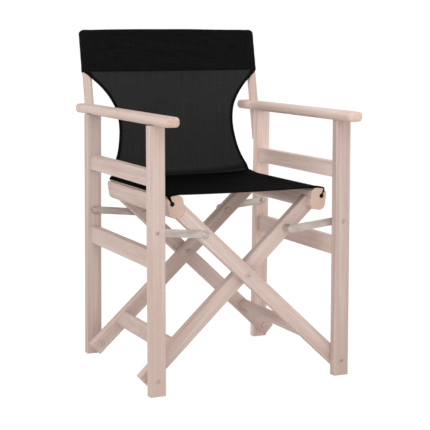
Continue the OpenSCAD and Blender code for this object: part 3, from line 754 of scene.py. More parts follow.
def ripple(across, along, waves):
    """A sum of long soft waves, each with a height, a length in both directions and a phase."""
    return sum(height * np.sin(2 * math.pi * (across / wide + along / tall) + phase)
               for height, wide, tall, phase in waves)


# Stitches

THREAD_WIDTH, THREAD_HEIGHT = 0.00075, 0.0006
THREAD_LIFT = 0.00005
STITCH_SHARE = 0.8
STITCH_SEED = 7


def face_line(points, thick, axis, at, face, trim=(0.0, 1.0)):
    """A line on one face of a sheet's grid: along an axis, at a place on the other one.

    Returns its points and the directions away from the cloth.
    """
    normal = grid_normals(points) * face
    skin = points + normal * (np.asarray(thick)[..., None] / 2 + THREAD_LIFT)
    if axis == 0:
        skin, normal = skin.swapaxes(0, 1), normal.swapaxes(0, 1)
    low = int(min(max(math.floor(at), 0), len(skin) - 2))
    share = at - low
    line = skin[low] * (1 - share) + skin[low + 1] * share
    up = normal[low] * (1 - share) + normal[low + 1] * share
    first, last = (int(round(part * (len(line) - 1))) for part in trim)
    return line[first:last + 1], up[first:last + 1]


def stitch_tree(name):
    """Sewn row. Follows the lines of a mesh with stitches of even length."""
    tree, given = new_group(
        name, {"Lines": GEOMETRY, "Pitch": VALUE, "Length": VALUE, "Width": VALUE,
               "Height": VALUE, "Seed": "NodeSocketInt", "Thread": "NodeSocketMaterial"},
        {"Stitches": GEOMETRY}, "GeometryNodeTree")
    line = node(tree, "GeometryNodeMeshToCurve", {"Mesh": given["Lines"]})
    steps = node(tree, "GeometryNodeResampleCurve", {"Curve": line, "Length": given["Pitch"]},
                 mode="LENGTH")
    along = node(tree, "GeometryNodeInputTangent")
    away = node(tree, "GeometryNodeInputNamedAttribute", {"Name": "away"},
                data_type="FLOAT_VECTOR")
    turn = node(tree, "FunctionNodeAlignRotationToVector", {"Vector": along}, axis="X")
    turn = node(tree, "FunctionNodeAlignRotationToVector", {"Rotation": turn, "Vector": away},
                axis="Z", pivot_axis="X")
    uneven = node(tree, "FunctionNodeRandomValue", {"Seed": given["Seed"], 2: 0.88, 3: 1.05}, 1,
                  data_type="FLOAT")
    size = node(tree, "ShaderNodeCombineXYZ", {
        0: given["Length"] * 0.5 * uneven, 1: given["Width"] * 0.5, 2: given["Height"] * 0.5})
    bead = node(tree, "GeometryNodeMeshUVSphere", {"Segments": 6, "Rings": 4, "Radius": 1.0})
    placed = node(tree, "GeometryNodeInstanceOnPoints",
                  {"Points": steps, "Instance": bead, "Rotation": turn, "Scale": size})
    real = node(tree, "GeometryNodeRealizeInstances", {0: placed})
    smooth = node(tree, "GeometryNodeSetShadeSmooth", {0: real})
    done = node(tree, "GeometryNodeSetMaterial", {0: smooth, "Material": given["Thread"]})
    node(tree, "NodeGroupOutput", {0: done}, None)
    return tree


def stitches(name, lines, cut):
    """A plain mesh of stitches along lines of points and directions."""
    points = np.concatenate([line for line, _ in lines])
    away = np.concatenate([up for _, up in lines])
    ends = np.cumsum([0] + [len(line) for line, _ in lines])
    edges = [(i, i + 1) for a, b in zip(ends[:-1], ends[1:]) for i in range(a, b - 1)]
    mesh = bpy.data.meshes.new(f"{name}_lines")
    mesh.from_pydata([tuple(point) for point in points], edges, [])
    mesh.attributes.new("away", "FLOAT_VECTOR", "POINT").data.foreach_set("vector", away.ravel())
    made = add_object(name, mesh)
    sewing = made.modifiers.new("sewing", "NODES")
    sewing.node_group = group_once(stitch_tree)
    wanted = {"Pitch": cut.stitch, "Length": cut.stitch * STITCH_SHARE, "Width": THREAD_WIDTH,
              "Height": THREAD_HEIGHT, "Seed": STITCH_SEED,
              "Thread": material_once("black_thread", thread_material)}
    for socket in sewing.node_group.interface.items_tree:
        if socket.in_out == "INPUT" and socket.name in wanted:
            sewing[socket.identifier] = wanted[socket.name]
    seen = made.evaluated_get(bpy.context.evaluated_depsgraph_get())
    plain = bpy.data.meshes.new_from_object(seen)
    plain.name = name
    made.modifiers.clear()
    made.data = plain
    bpy.data.meshes.remove(mesh)
    return made


# Seat

# The seam with the mesh: half its length, and how it climbs with X squared and X to the fourth.
SEAM_HALF = 0.2003
SEAM_CLIMB = (0.1743, 3.548)
# The way out of the left rail's slot in X and Z, the start and end of the loop round the rod in
# degrees from that way, and the canvas' distance from the rod and from the rail.
SLOT_WAY = (-0.545, 0.839)
LOOP_TURN = (32, 338)
ROD_GAP = 0.0008
RAIL_GAP = 0.0003
# Points on the seat's line up to the rail's top and beyond it, the points between which it
# leaves the rod and the slot, and the canvas' thickness round the rod.
WRAP_POINTS, SPAN_POINTS = 84, 66
ROD_END, SLOT_END = (30, 38), (45, 53)
LOOP_THICK = 0.0015
# How far the side hem reaches past the bend, how softly the hems step down, and the distance
# of their seams from their edges.
SIDE_HEM = 0.022
HEM_EASE = 0.004
SEAM_INSET = 0.0025
# The share of the seat's line, from its middle, along which the seams of its hems are sewn.
HEM_SEWN = 0.60
# Height of the small creases, and of the rear edge where it turns up to the mesh.
CREASE = 0.0007
REAR_LIP = 0.006


def seam_height(x, low):
    """Height of the seam between seat and mesh, which hangs between the two rails."""
    return low + SEAM_CLIMB[0] * x ** 2 + SEAM_CLIMB[1] * x ** 4


def hull_around(name):
    """The outline of a rail from the front, without its slot, as X and Z in order."""
    found = np.unique(points_of(name)[:, [0, 2]].round(6), axis=0)
    found = found[np.lexsort((found[:, 1], found[:, 0]))]

    def half(points):
        kept = []
        for point in points:
            while len(kept) > 1 and np.cross(kept[-1] - kept[-2], point - kept[-1]) <= 0:
                kept.pop()
            kept.append(point)
        return kept[:-1]
    return np.array(half(found) + half(found[::-1]))


def rail_wrap(gap):
    """The line at a distance outside the left rail, from its outer side to its top."""
    hull = hull_around("seat_rail_left")
    angles = np.linspace(math.pi, math.pi / 2, 180)
    ways = np.stack([np.cos(angles), np.sin(angles)], axis=1)
    return np.array([hull[np.argmax(hull @ way)] + gap * way for way in ways])


def seat_path(cut):
    """The left half of the seat from the front: round its rod, out of the slot and to the middle.

    Returns the line in X and Z, the height of its flat part, the joint that bends it and the
    place where it leaves the slot.
    """
    low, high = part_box("seat_rod_left")
    rod = (high.x - low.x) / 2
    centre = np.array([(low.x + high.x) / 2, (low.z + high.z) / 2])
    bend = np.array(joint("seat_left_bend")["pos_m"])
    mouth = points_of("seat_hem_left")[:, [0, 2]]
    mouth = mouth[np.argmax(mouth @ np.array(SLOT_WAY))]
    slot = math.atan2(mouth[1] - centre[1], mouth[0] - centre[0])
    turns = slot + np.radians(np.linspace(*LOOP_TURN, 30))
    loop = centre + (rod + ROD_GAP) * np.stack([np.cos(turns), np.sin(turns)], axis=1)
    way = np.array([math.cos(slot), math.sin(slot)])
    around = rail_wrap(cut.double / 2 + RAIL_GAP)
    off_slot = np.abs(np.cross(way, around - centre))
    mouth_at = int(np.argmin(off_slot + 10 * ((around - centre) @ way < 0)))
    reach = (around[mouth_at] - centre) @ way
    out = [centre + way * run for run in np.linspace(rod + 0.003, reach - 0.003, 6)]
    top = even(around[mouth_at:], 60)
    level = top[-1][1]
    flat = [np.array([x, level]) for x in np.linspace(bend[0] + 0.002, 0.0, 40)]
    line = soften(even(np.concatenate([loop, out, top, flat]), 420), 14)
    return line, level, bend, top[0]


def seam_line(line, mouth, low):
    """The seat's back edge: up from the slot to the corner of the mesh, and along the seam."""
    first = int(np.argmin(np.linalg.norm(line - mouth, axis=1)))
    x = np.linspace(-SEAM_HALF, 0.0, 80)
    tent = np.concatenate([mouth[None], np.stack([x, seam_height(x, low)], axis=1)])
    own = run_along(line[first:])
    return np.concatenate([line[:first],
                           at_distances(tent, own / own[-1] * run_along(tent)[-1])])


def seat_thick(x, y, count, front, back, bend, cut):
    """The seat's thickness: doubled in its hems, and even in the loop round the rod."""
    side_hem = 1 - smooth_step(x, bend[0] + SIDE_HEM, bend[0] + SIDE_HEM + HEM_EASE)
    front_hem = 1 - smooth_step(y, front + cut.hem, front + cut.hem + 0.003)
    rear_hem = smooth_step(y, back - cut.hem - 0.003, back - cut.hem)
    doubled = np.maximum(side_hem, np.maximum(front_hem, rear_hem))
    in_loop = 1 - smooth_step(count, *ROD_END)
    return ((cut.single + (cut.double - cut.single) * doubled) * (1 - in_loop)
            + LOOP_THICK * in_loop)


def rolled_part(x, y, count, front, bend, cut):
    """Extra thickness of the front hem, from the slot's mouth to the rail's top."""
    hem_end = front + cut.hem + HEM_EASE
    rolled = cut.rolled_hem * (1 - smooth_step(y, hem_end - 2 * HEM_EASE, hem_end))
    past_top = smooth_step(x, bend[0] - 0.004, bend[0] + 0.014)
    return rolled * smooth_step(count, *SLOT_END) * (1 - past_top)


def seat_half(side, cut):
    """One half of the seat cloth with its hem round the rod, bent over its rail.

    Returns its grid of points, its thickness and the joint that bends it.
    """
    line, level, bend, mouth = seat_path(cut)
    low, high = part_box("seat_rail_left")
    front, back = low.y, high.y
    on_top = int(np.argmax((line[:, 0] > bend[0] - 0.0085) & (line[:, 1] > level - 0.0015)))
    line = np.concatenate([even(line[:on_top + 1], WRAP_POINTS),
                           even(line[on_top:], SPAN_POINTS)[1:]])
    hem_end, rear_start = front + cut.hem + HEM_EASE, back - 0.03
    lengths = np.concatenate([
        np.linspace(front, hem_end, 9)[:-1], np.linspace(hem_end, rear_start, 52)[:-1],
        np.linspace(rear_start, back + 0.0004, 16)])
    x, y = line[:, :1], lengths[None, :]
    count = np.arange(len(line))[:, None]
    share = (y - front) / (back - front)
    rear = smooth_step(share, 0.84, 1.0)

    free = np.clip(1 - (x / bend[0]) ** 2, 0.0, 1.0)
    sag = cut.sag_front + (cut.sag_rear - cut.sag_front) * share ** 1.4
    creases = CREASE * np.sin(x * 95 + y * 21) * np.sin(y * 33 + 1.0) * free
    height = line[:, 1:] - sag * free + creases * smooth_step(share, 0.03, 0.12) * (1 - rear)
    seam = seam_line(line, mouth, level - cut.sag_rear)
    height = height + (seam[:, 1:] - height) * rear
    across = x + (seam[:, :1] - x) * rear
    lip = REAR_LIP * smooth_step(share, 0.985, 1.0) ** 1.5 * free

    run = np.gradient(line, axis=0)
    outward = np.stack([-run[:, 1], run[:, 0]], axis=1) / np.linalg.norm(run, axis=1)[:, None]
    rolled = rolled_part(x, y, count, front, bend, cut)
    across = across + rolled / 2 * outward[:, :1]
    height = height + rolled / 2 * outward[:, 1:]

    thick = seat_thick(x, y, count, front, back, bend, cut) + rolled
    points = np.stack(np.broadcast_arrays(across * -side, y, height + lip), axis=2)
    if side == RIGHT:
        points, thick = points[::-1], thick[::-1]
    return points, thick, bend


class CHAIR_OT_seat(bpy.types.Operator):
    """Makes the two halves of the canvas seat, hemmed round their rods"""

    bl_idname = "chair.seat"
    bl_label = "Seat"

    def execute(self, context):
        cut = context.scene.chair_cloth
        # The seat's canvas is painted darker than the band's: painted shade against the stronger
        # light on its upward face.
        canvas = material_once("seat_canvas", canvas_material, cut, bright=0.36, gloss=0.02)
        for side, word in SIDES:
            points, thick, bend = seat_half(side, cut)
            measure = cloth_measure(points)
            half = cloth_piece(f"seat_half_{word}", points, thick, measure, canvas)
            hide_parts(f"seat_cloth_{word}", f"seat_hem_{word}")
            run = measure[0, :, 1]
            hems = (cut.hem - SEAM_INSET, run[-1] - cut.hem + SEAM_INSET)
            trim = (0.0, HEM_SEWN) if side == RIGHT else (1 - HEM_SEWN, 1.0)
            lines = [face_line(points, thick, 0, np.interp(y, run, np.arange(len(run))), face, trim)
                     for face in (-1, 1) for y in hems]
            past_bend = np.abs(points[:, 20, 0]) - (abs(bend[0]) - SIDE_HEM - 0.001)
            inner = int(np.argmin(np.abs(past_bend)))
            lines += [face_line(points, thick, 1, inner, face, (0.03, 0.97)) for face in (-1, 1)]
            thread = stitches(f"seat_stitches_{word}", lines, cut)
            for cloth in (half, thread):
                side * (abs(bend[0]) + 0.001)
                side * (abs(bend[0]) - 0.027)
                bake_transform(cloth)
        return {"FINISHED"}


# Back

# How far inside the posts' axes the band is sewn to its sleeves, how far their flaps reach
# inwards behind it, and the canvas' distance from the axes.
BAND_SPLIT = 0.022
FLAP = 0.034
BAND_RADIUS = 0.0133
# How far the band ends below the CAD sleeve's top, the height of its rounded cap there, the
# width of its hems, and the seams of a hem from its outer edge.
BAND_DROP = 0.0045
CAP_RUN = 0.0036
BAND_HEM = 0.012
HEM_SEAMS = (0.0035, 0.0105)
# Rows of a sleeve's grid, counted from where it meets the band, along which it is sewn.
SLEEVE_SEAMS = (1.4, 3.4)
# Soft folds of the band and of the mesh: height, length across and up, and phase.
BAND_WAVES = ((0.0011, 0.61, 0.047, 0.4), (0.0008, -0.43, 0.061, 2.1), (0.0006, 0.27, 0.034, 4.0),
              (0.0005, -0.19, 0.085, 1.2), (0.0004, 0.13, 0.028, 5.1))
MESH_WAVES = ((0.0008, 0.085, 1.9, 0.5), (0.0006, -0.051, 2.4, 1.9), (0.0005, 0.19, 0.33, 2.7),
              (0.0005, -0.24, 0.21, 0.3))


def band_top():
    """The band's height along the posts."""
    return post_frame()[3] - BAND_DROP


def band_rows():
    """Heights of the band's rows above its lower edge, close together at its hems and cap."""
    top = band_top()
    return np.concatenate([
        np.linspace(0.0, 0.016, 7)[:-1], np.linspace(0.016, top - 0.016, 34)[:-1],
        np.linspace(top - 0.016, top - CAP_RUN, 7)[:-1],
        top - CAP_RUN * (1 - np.sin(np.linspace(0.0, math.pi / 2, 14)))])


def band_thick(up, cut, share):
    """The band's thickness by height. share tells how much of a double layer its hems show."""
    top = band_top()
    hems = np.maximum(1 - smooth_step(up, BAND_HEM - 0.001, BAND_HEM + 0.001),
                      smooth_step(up, top - BAND_HEM - 0.001, top - BAND_HEM + 0.001))
    return cut.single + (cut.double - cut.single) * share * hems


def cap_ball():
    """The ball that a sleeve's top follows over its post: its middle's height and its radius."""
    origin, axis, _, _ = post_frame()
    spots = points_of("back_post_right") - origin
    height = spots @ axis
    far = np.linalg.norm(spots - height[:, None] * axis, axis=1)
    shoulder = height.max() - height[far > 0.99 * far.max()].max()
    ball = (far.max() ** 2 + shoulder ** 2) / (2 * shoulder)
    return height.max() - ball, ball + BAND_RADIUS - far.max()


def band_place(x, out, up):
    """Points of the band from X, their distance in front of the posts' plane and their height."""
    origin, axis, front, _ = post_frame()
    x, out, up = np.broadcast_arrays(x, out, up)
    base = np.stack([x, np.full(x.shape, origin[1]), np.full(x.shape, origin[2])], axis=-1)
    return base + out[..., None] * front + up[..., None] * axis


def band_middle(cut):
    """The band between its sleeves, with soft folds that the seams hold flat."""
    reach = post_frame()[0][0] - BAND_SPLIT
    top = band_top()
    x = np.linspace(-reach, reach, 150)[:, None]
    up = band_rows()[None, :]
    inner = 1 - smooth_step(np.abs(x), 0.17, 0.215)
    calm = 0.12 + 0.88 * smooth_step(up, 0.014, 0.055)
    bow = 0.0016 * (1 - (x / reach) ** 2) * up / top
    points = band_place(x, BAND_RADIUS + inner * calm * ripple(x, up, BAND_WAVES), up + bow)
    return points, np.broadcast_to(band_thick(up, cut, 0.7), points.shape[:2])


def sleeve_line(cut):
    """A sleeve from above: across the post's front, round it, and back to the sewn flap.

    Returns X and the distance in front of the posts' plane, for the right post.
    """
    post_x = post_frame()[0][0]
    flap = np.array([-FLAP + 0.006, BAND_RADIUS - cut.single * 1.9])
    leave = (math.atan2(flap[1], flap[0]) - 2 * math.pi
             + math.acos(BAND_RADIUS / np.linalg.norm(flap)))
    front = np.linspace(post_x - BAND_SPLIT, post_x, 10)[:-1]
    turn = np.linspace(math.pi / 2, leave, 44)
    around = BAND_RADIUS * np.stack([np.cos(turn), np.sin(turn)], axis=1)
    tail = np.concatenate([np.linspace(around[-1], flap, 12)[1:],
                           np.linspace(flap, flap - (0.006, 0.0), 6)[1:]])
    line = np.concatenate([np.stack([front, np.full(9, BAND_RADIUS)], axis=1),
                           soften(np.concatenate([around, tail]), 2) + (post_x, 0.0)])
    return line[:, :1], line[:, 1:]


def band_sleeve(side, cut):
    """The end of the band: over the front of the post, round it, and sewn down behind the band."""
    post_x = post_frame()[0][0]
    x, out = sleeve_line(cut)
    top = band_top()
    up = band_rows()[None, :]
    near = 1 - smooth_step(np.abs(x - post_x), 0.0135, 0.0205)

    cap_middle, cap_radius = cap_ball()
    widest = math.asin(BAND_RADIUS / cap_radius)
    rise = np.clip((up - (top - CAP_RUN)) / CAP_RUN, 0.0, 1.0)
    slope = widest * (1 - 0.985 * rise)
    close = 1 - near * (1 - np.sin(slope) / math.sin(widest))
    shift = cap_middle + cap_radius * math.cos(widest) - (top - CAP_RUN)
    lifted = up + near * shift * smooth_step(up, top - 0.030, top - CAP_RUN)
    lifted = np.where(rise > 0, up + near * (cap_middle + cap_radius * np.cos(slope) - up), lifted)

    wear = 0.0005 * np.sin(up * 190 + x * 60) * smooth_step(np.abs(x - post_x), 0.0, 0.012)
    wear = wear * (1 - smooth_step(post_x - BAND_SPLIT + 0.004 - x, -0.004, 0.0))
    points = band_place(side * (post_x + (x - post_x) * close), (out + wear) * close, lifted)
    thick = band_thick(up, cut, 0.5 * (1 - near * smooth_step(up, top - 0.016, top - 0.008)))
    if side == LEFT:
        points, thick = points[::-1], thick[::-1]
    return points, thick


def follow_back(cloths, reach):
    """Lets pieces of the back, as wide as reach on both sides, narrow as the chair folds."""
    keep = (2 * reach - fold_shift()) / (2 * reach)
    for cloth in cloths:
        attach(cloth, "right_side")
        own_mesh(cloth)


class CHAIR_OT_band(bpy.types.Operator):
    """Makes the canvas band of the back and its two sleeves over the posts"""

    bl_idname = "chair.band"
    bl_label = "Back band"

    def execute(self, context):
        cut = context.scene.chair_cloth
        canvas = material_once("black_canvas", canvas_material, cut)
        origin, _, _, length = post_frame()
        reach = origin[0] - BAND_SPLIT
        points, thick = band_middle(cut)
        middle = cloth_piece("back_band_middle", points, thick, cloth_measure(points), canvas)
        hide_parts("back_band")
        rows = band_rows()
        hem_rows = [np.interp(up, rows, np.arange(len(rows)))
                    for up in (*HEM_SEAMS, rows[-1] - HEM_SEAMS[1])]
        thread = stitches("back_band_stitches", [
            face_line(points, thick, 0, at, face) for at in hem_rows for face in (-1, 1)], cut)
        follow_back((middle, thread), reach)
        2 * reach
        for side, word in SIDES:
            points, thick = band_sleeve(side, cut)
            measure = cloth_measure(points)
            sleeve = cloth_piece(f"back_sleeve_cloth_{word}", points, thick, measure, canvas)
            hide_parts(f"back_sleeve_{word}")
            last = len(points) - 1
            seams = SLEEVE_SEAMS if side == RIGHT else [last - at for at in SLEEVE_SEAMS]
            lines = [face_line(points, thick, 1, at, 1, (0.02, 0.93)) for at in seams]
            lines += [face_line(points, thick, 0, at, 1) for at in hem_rows[:2]]
            thread = stitches(f"back_sleeve_stitches_{word}", lines, cut)
            for cloth in (sleeve, thread):
                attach(cloth, f"{word}_side")
        return {"FINISHED"}


# The mesh's hourglass: half its width at a row of heights.
MESH_HEIGHTS = (0.466, 0.481, 0.495, 0.508, 0.521, 0.5355, 0.550, 0.565, 0.585, 0.605, 0.625,
                0.645, 0.660, 0.675, 0.690, 0.705, 0.720, 0.732, 0.742, 0.752)
MESH_HALVES = (0.2095, 0.2012, 0.1952, 0.1894, 0.1836, 0.1780, 0.1740, 0.1711, 0.1682, 0.1669,
               0.1676, 0.1708, 0.1748, 0.1818, 0.1905, 0.2020, 0.2160, 0.2290, 0.2400, 0.2525)
MESH_BEND = 0.0128
MESH_SEAM = 0.0085


def mesh_half_width(z):
    """Half the mesh's width at a height."""
    at = np.linspace(MESH_HEIGHTS[0], MESH_HEIGHTS[-1], 200)
    return np.interp(z, at, soften(spline(at, MESH_HEIGHTS, MESH_HALVES), 8))


def mesh_surface(share_across, share_up, cut):
    """Points of the mesh: from -1 to 1 across, and from the seam at 0 to the band at 1."""
    origin, axis, front, _ = post_frame()
    seam_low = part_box("seat_cloth_left")[1].z - RAIL_GAP - cut.sag_rear
    bottom = seam_height(share_across * SEAM_HALF, seam_low)
    head = origin + axis * 0.006 + front * (BAND_RADIUS - cut.single * 0.5 - cut.mesh_layer * 0.75)
    z = bottom + (head[2] - bottom) * share_up
    x = share_across * mesh_half_width(z)
    run = (z - seam_low) / (head[2] - seam_low)
    run = run + (share_up - run) * (1 - smooth_step(share_up, 0.0, 0.15))
    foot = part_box("back_mesh")[0].y + cut.mesh_layer
    hollow = np.sin(math.pi * np.clip(run, 0.0, 1.0)) ** 0.8
    hollow = hollow * (cut.back_sag + 0.003) * (1 - share_across ** 2)
    calm = np.sin(math.pi * np.clip(share_up, 0.0, 1.0)) ** 0.7
    crease = 0.0035 * np.exp(-((share_up - 0.055) / 0.03) ** 2)
    past_post = np.clip(np.abs(x) - origin[0], 0.0, 0.0120)
    round_post = MESH_BEND - np.sqrt(MESH_BEND ** 2 - past_post ** 2)
    y = foot + (head[1] - foot) * run + hollow + ripple(x, z, MESH_WAVES) * calm
    return np.stack(np.broadcast_arrays(x, y - crease + round_post, z), axis=-1)


class CHAIR_OT_mesh(bpy.types.Operator):
    """Makes the mesh of the back, from the seam of the seat to the band"""

    bl_idname = "chair.mesh"
    bl_label = "Back mesh"

    def execute(self, context):
        cut = context.scene.chair_cloth
        net = material_once("dark_mesh", mesh_material, cut)
        across = np.linspace(1.0, -1.0, 161)[:, None]
        up = np.concatenate([np.linspace(0.0, 0.16, 25)[:-1], np.linspace(0.16, 1.0, 96)])[None, :]
        points = mesh_surface(across, up, cut)[::-1]
        measure = np.stack([points[..., 0], points[..., 2] - points[..., :1, 2]], axis=-1)
        net_piece = cloth_piece("back_mesh_cloth", points, cut.mesh_layer, measure, net)
        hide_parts("back_mesh")
        rise = measure[len(measure) // 2, :, 1]
        at = np.interp(MESH_SEAM, rise, np.arange(len(rise)))
        thick = np.full(points.shape[:2], cut.mesh_layer)
        thread = stitches("back_mesh_stitches", [
            face_line(points, thick, 0, at, face, (0.02, 0.98)) for face in (-1, 1)], cut)
        follow_back((net_piece, thread), post_frame()[0][0])
        halves = mesh_half_width(np.linspace(0.475, MESH_HEIGHTS[-1], 60))
        return {"FINISHED"}


# The binding: its tape's thickness, how far the tape's middle lies off the mesh's face, the way
# behind the mesh, and the tape's section as shares of its width and of its distance behind.
TAPE_THICK = 0.0009
TAPE_LIFT = 0.0006
BEHIND = np.array([0.0, -1.0, 0.15])
TAPE_SECTION = (
    *((share, -1.0) for share in np.linspace(1.0, 0.12, 6)),
    (0.0, -0.7), (-0.06, 0.0), (0.0, 0.7),
    *((share, 1.0) for share in np.linspace(0.12, 1.0, 6)))


def binding_surface(side, cut):
    """A tape folded round one edge of the mesh: behind it, round its edge and in front of it."""
    up = np.linspace(0.0, 0.996, 130)
    width = cut.binding * (1 + 0.9 * smooth_step(up, 0.93, 0.99))
    edge = mesh_surface(np.array([side]), up[None, :], cut)[0]
    half = np.abs(edge[:, 0])
    slant = np.sqrt(1 + np.gradient(half, edge[:, 2]) ** 2)
    lines = [mesh_surface(side * (half - width * inset * slant) / half, up, cut)
             + out * (cut.mesh_layer / 2 + TAPE_LIFT) * BEHIND for inset, out in TAPE_SECTION]
    return np.stack(lines)


class CHAIR_OT_binding(bpy.types.Operator):
    """Makes the tape along both edges of the mesh"""

    bl_idname = "chair.binding"
    bl_label = "Binding"

    def execute(self, context):
        cut = context.scene.chair_cloth
        tape = material_once("black_tape", canvas_material, cut, bright=0.8)
        for side, word in SIDES:
            points = binding_surface(side, cut)
            if side == LEFT:
                points = points[::-1]
            measure = cloth_measure(points)
            strip = cloth_piece(f"back_binding_tape_{word}", points, TAPE_THICK, measure, tape)
            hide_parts("back_binding")
            thick = np.full(points.shape[:2], TAPE_THICK)
            thread = stitches(f"back_binding_stitches_{word}", [
                face_line(points, thick, 1, at, 1, (0.01, 0.98))
                for at in (1.2, len(points) - 2.2)], cut)
            follow_back((strip, thread), post_frame()[0][0])
        return {"FINISHED"}


# Armrests

# Where in the log the armrests are cut.
ARM_CUTS = {"left": (0.07, 0.05, 1.7), "right": (0.07, 0.08, 2.6)}


def rounded_board(low, high, corners, edge):
    """Points and faces of a board with rounded long edges, and with its own radius per corner.

    corners are the radii seen from above: back right, back left, front left, front right.
    """
    turns = np.linspace(0.0, math.pi / 2, 9)
    eased = np.linspace(0.0, math.pi / 2, 8)
    inset = edge * (1 - np.sin(eased))
    rise = edge * (1 - np.cos(eased))
    face_inset = edge * 1.05
    levels = [(face_inset, low.z), *zip(inset, low.z + rise),
              *zip(inset[::-1], high.z - rise[::-1]), (face_inset, high.z)]
    places = ((high.x, high.y, 1, 1), (low.x, high.y, -1, 1), (low.x, low.y, -1, -1),
              (high.x, low.y, 1, -1))
    points = []
    for gap, z in levels:
        for quarter, ((x, y, way_x, way_y), radius) in enumerate(zip(places, corners)):
            for turn in turns + quarter * math.pi / 2:
                points.append((x - way_x * radius + (radius - gap) * math.cos(turn),
                               y - way_y * radius + (radius - gap) * math.sin(turn), z))
    ring = 4 * len(turns)
    faces = [tuple(range(ring))[::-1], tuple(range(len(points) - ring, len(points)))]
    for start in range(0, len(points) - ring, ring):
        faces += [(start + i, start + (i + 1) % ring, start + ring + (i + 1) % ring,
                   start + ring + i) for i in range(ring)]
    return points, faces


class CHAIR_OT_arms(bpy.types.Operator):
    """Makes the two armrests, with rounded noses and edges"""

    bl_idname = "chair.arms"
    bl_label = "Armrests"

    def execute(self, context):
        finish = context.scene.chair_wood
        nose, back = finish.arm_nose, finish.arm_edge + 0.003
        for side, word in SIDES:
            fronts = (nose, back) if side == LEFT else (back, nose)
            points, faces = rounded_board(*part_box(f"armrest_{word}"), (back, back, *fronts),
                                          finish.arm_edge)
            # The armrest's beech is painted lighter or darker by its share of painted light and
            # shade.
            beech = wood_material(f"beech_armrest_{word}", finish, FORWARD, ARM_CUTS[word],
                                  PAINTED_LIGHT_AND_SHADE[f"armrest_{word}"])
            board = add_piece(f"armrest_board_{word}", points, faces, beech)
            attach(board, f"{word}_side")
            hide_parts(f"armrest_{word}")
        return {"FINISHED"}


# Finishes of the hard parts

# Each part is cut from its own place in the log, at this radius and this far up from the last.
LOG_RADIUS, LOG_STEP = 0.085, 0.37
GOLDEN_ANGLE = 2.399963


def finish_node(name, material):
    """Gives a CAD node its material and its slot."""
    dress(frame["nodes"][name], material)


class CHAIR_OT_wood(bpy.types.Operator):
    """Gives each beech part its own cut of washed grain"""

    bl_idname = "chair.wood"
    bl_label = "Wood finish"

    def execute(self, context):
        finish = context.scene.chair_wood
        for count, name in enumerate(WOOD_NODES):
            turn = count * GOLDEN_ANGLE
            offset = (LOG_RADIUS * math.cos(turn), LOG_RADIUS * math.sin(turn), LOG_STEP * count)
            # Each part's beech is painted lighter or darker by its share of painted light and
            # shade.
            finish_node(name, wood_material(f"beech_{name}", finish, long_axis(name)[1], offset,
                                            PAINTED_LIGHT_AND_SHADE.get(name, 1.0)))
        return {"FINISHED"}


class CHAIR_OT_metal(bpy.types.Operator):
    """Gives the links, bolts, nuts, washers and screws their brushed steel"""

    bl_idname = "chair.metal"
    bl_label = "Metal finish"

    def execute(self, context):
        finish = context.scene.chair_metal
        for name in LINK_NODES:
            finish_node(name, metal_material(f"steel_{name}", finish.link, long_axis(name)[1],
                                             0.42))
        bolts = metal_material("steel_fasteners", finish.bolt, FORWARD, 0.50, shine=0.25,
                               recess=0.003)
        cross_bolts = metal_material("steel_cross_bolts", solid(finish.bolt, 0.88)[:3], FORWARD,
                                     0.60, shine=0.10, recess=0.003)
        spacers = metal_material("steel_washers", finish.bolt, FORWARD, 0.40, shine=0.35,
                                 rings=0.0016)
        for name in FASTENER_NODES:
            steel = cross_bolts if name == "cross_bolts" else bolts
            finish_node(name, spacers if "spacer" in name else steel)
        return {"FINISHED"}


class CHAIR_OT_rods(bpy.types.Operator):
    """Gives the two rods in the seat's hems their black plastic"""

    bl_idname = "chair.rods"
    bl_label = "Seat rods"

    def execute(self, context):
        plastic = rod_material("black_rod")
        for name in ROD_NODES:
            finish_node(name, plastic)
        return {"FINISHED"}


# Stage

FLOOR_HALF = 30.0
FLOOR_GAP = 0.0005
# The strength of the floor's own white, and how much of it shows where it is seen directly.
FLOOR_GLOW, FLOOR_SHARE = 1.11, 0.82
# Each lamp's place and width. Its power is a setting of the same name.
LAMPS = {"key": ((-2.2, -5.6, 5.6), 4.6), "side": ((-6.0, -3.4, 2.6), 4.6),
         "fill": ((2.8, -1.6, 1.6), 2.0)}


def seen_directly(tree):
    """1 for what the camera, a mirror or glass sees, and 0 for light on the object."""
    path = node(tree, "ShaderNodeLightPath", out=None)
    either = calc("MAXIMUM", path["Is Camera Ray"], path["Is Glossy Ray"])
    return calc("MAXIMUM", either, path["Is Transmission Ray"])


def floor_material(name, look):
    """A pale floor that fades to white and keeps a soft shadow."""
    material, tree = new_material(name)
    place = node(tree, "ShaderNodeTexCoord", out="Object")
    tone = mix(noise(place, (3.0, 3.0, 3.0)), solid(look.floor), solid(look.floor, 0.98))
    matt = node(tree, "ShaderNodeBsdfDiffuse", {"Color": tone})
    glow = node(tree, "ShaderNodeEmission", {"Color": WHITE, "Strength": FLOOR_GLOW})
    both = node(tree, "ShaderNodeMixShader",
                {0: seen_directly(tree) * FLOOR_SHARE, 1: matt, 2: glow})
    node(tree, "ShaderNodeOutputMaterial", {0: both}, None)
    return material


def room_light(look):
    """A world that lights the object evenly and is white where it is seen."""
    world = bpy.data.worlds.new("room")
    world.use_nodes = True
    tree = world.node_tree
    tree.nodes.clear()
    room = node(tree, "ShaderNodeBackground", {0: WHITE, 1: look.sky})
    white = node(tree, "ShaderNodeBackground", {0: WHITE, 1: 1.0})
    both = node(tree, "ShaderNodeMixShader", {0: seen_directly(tree), 1: room, 2: white})
    node(tree, "ShaderNodeOutputWorld", {0: both}, None)
    return world


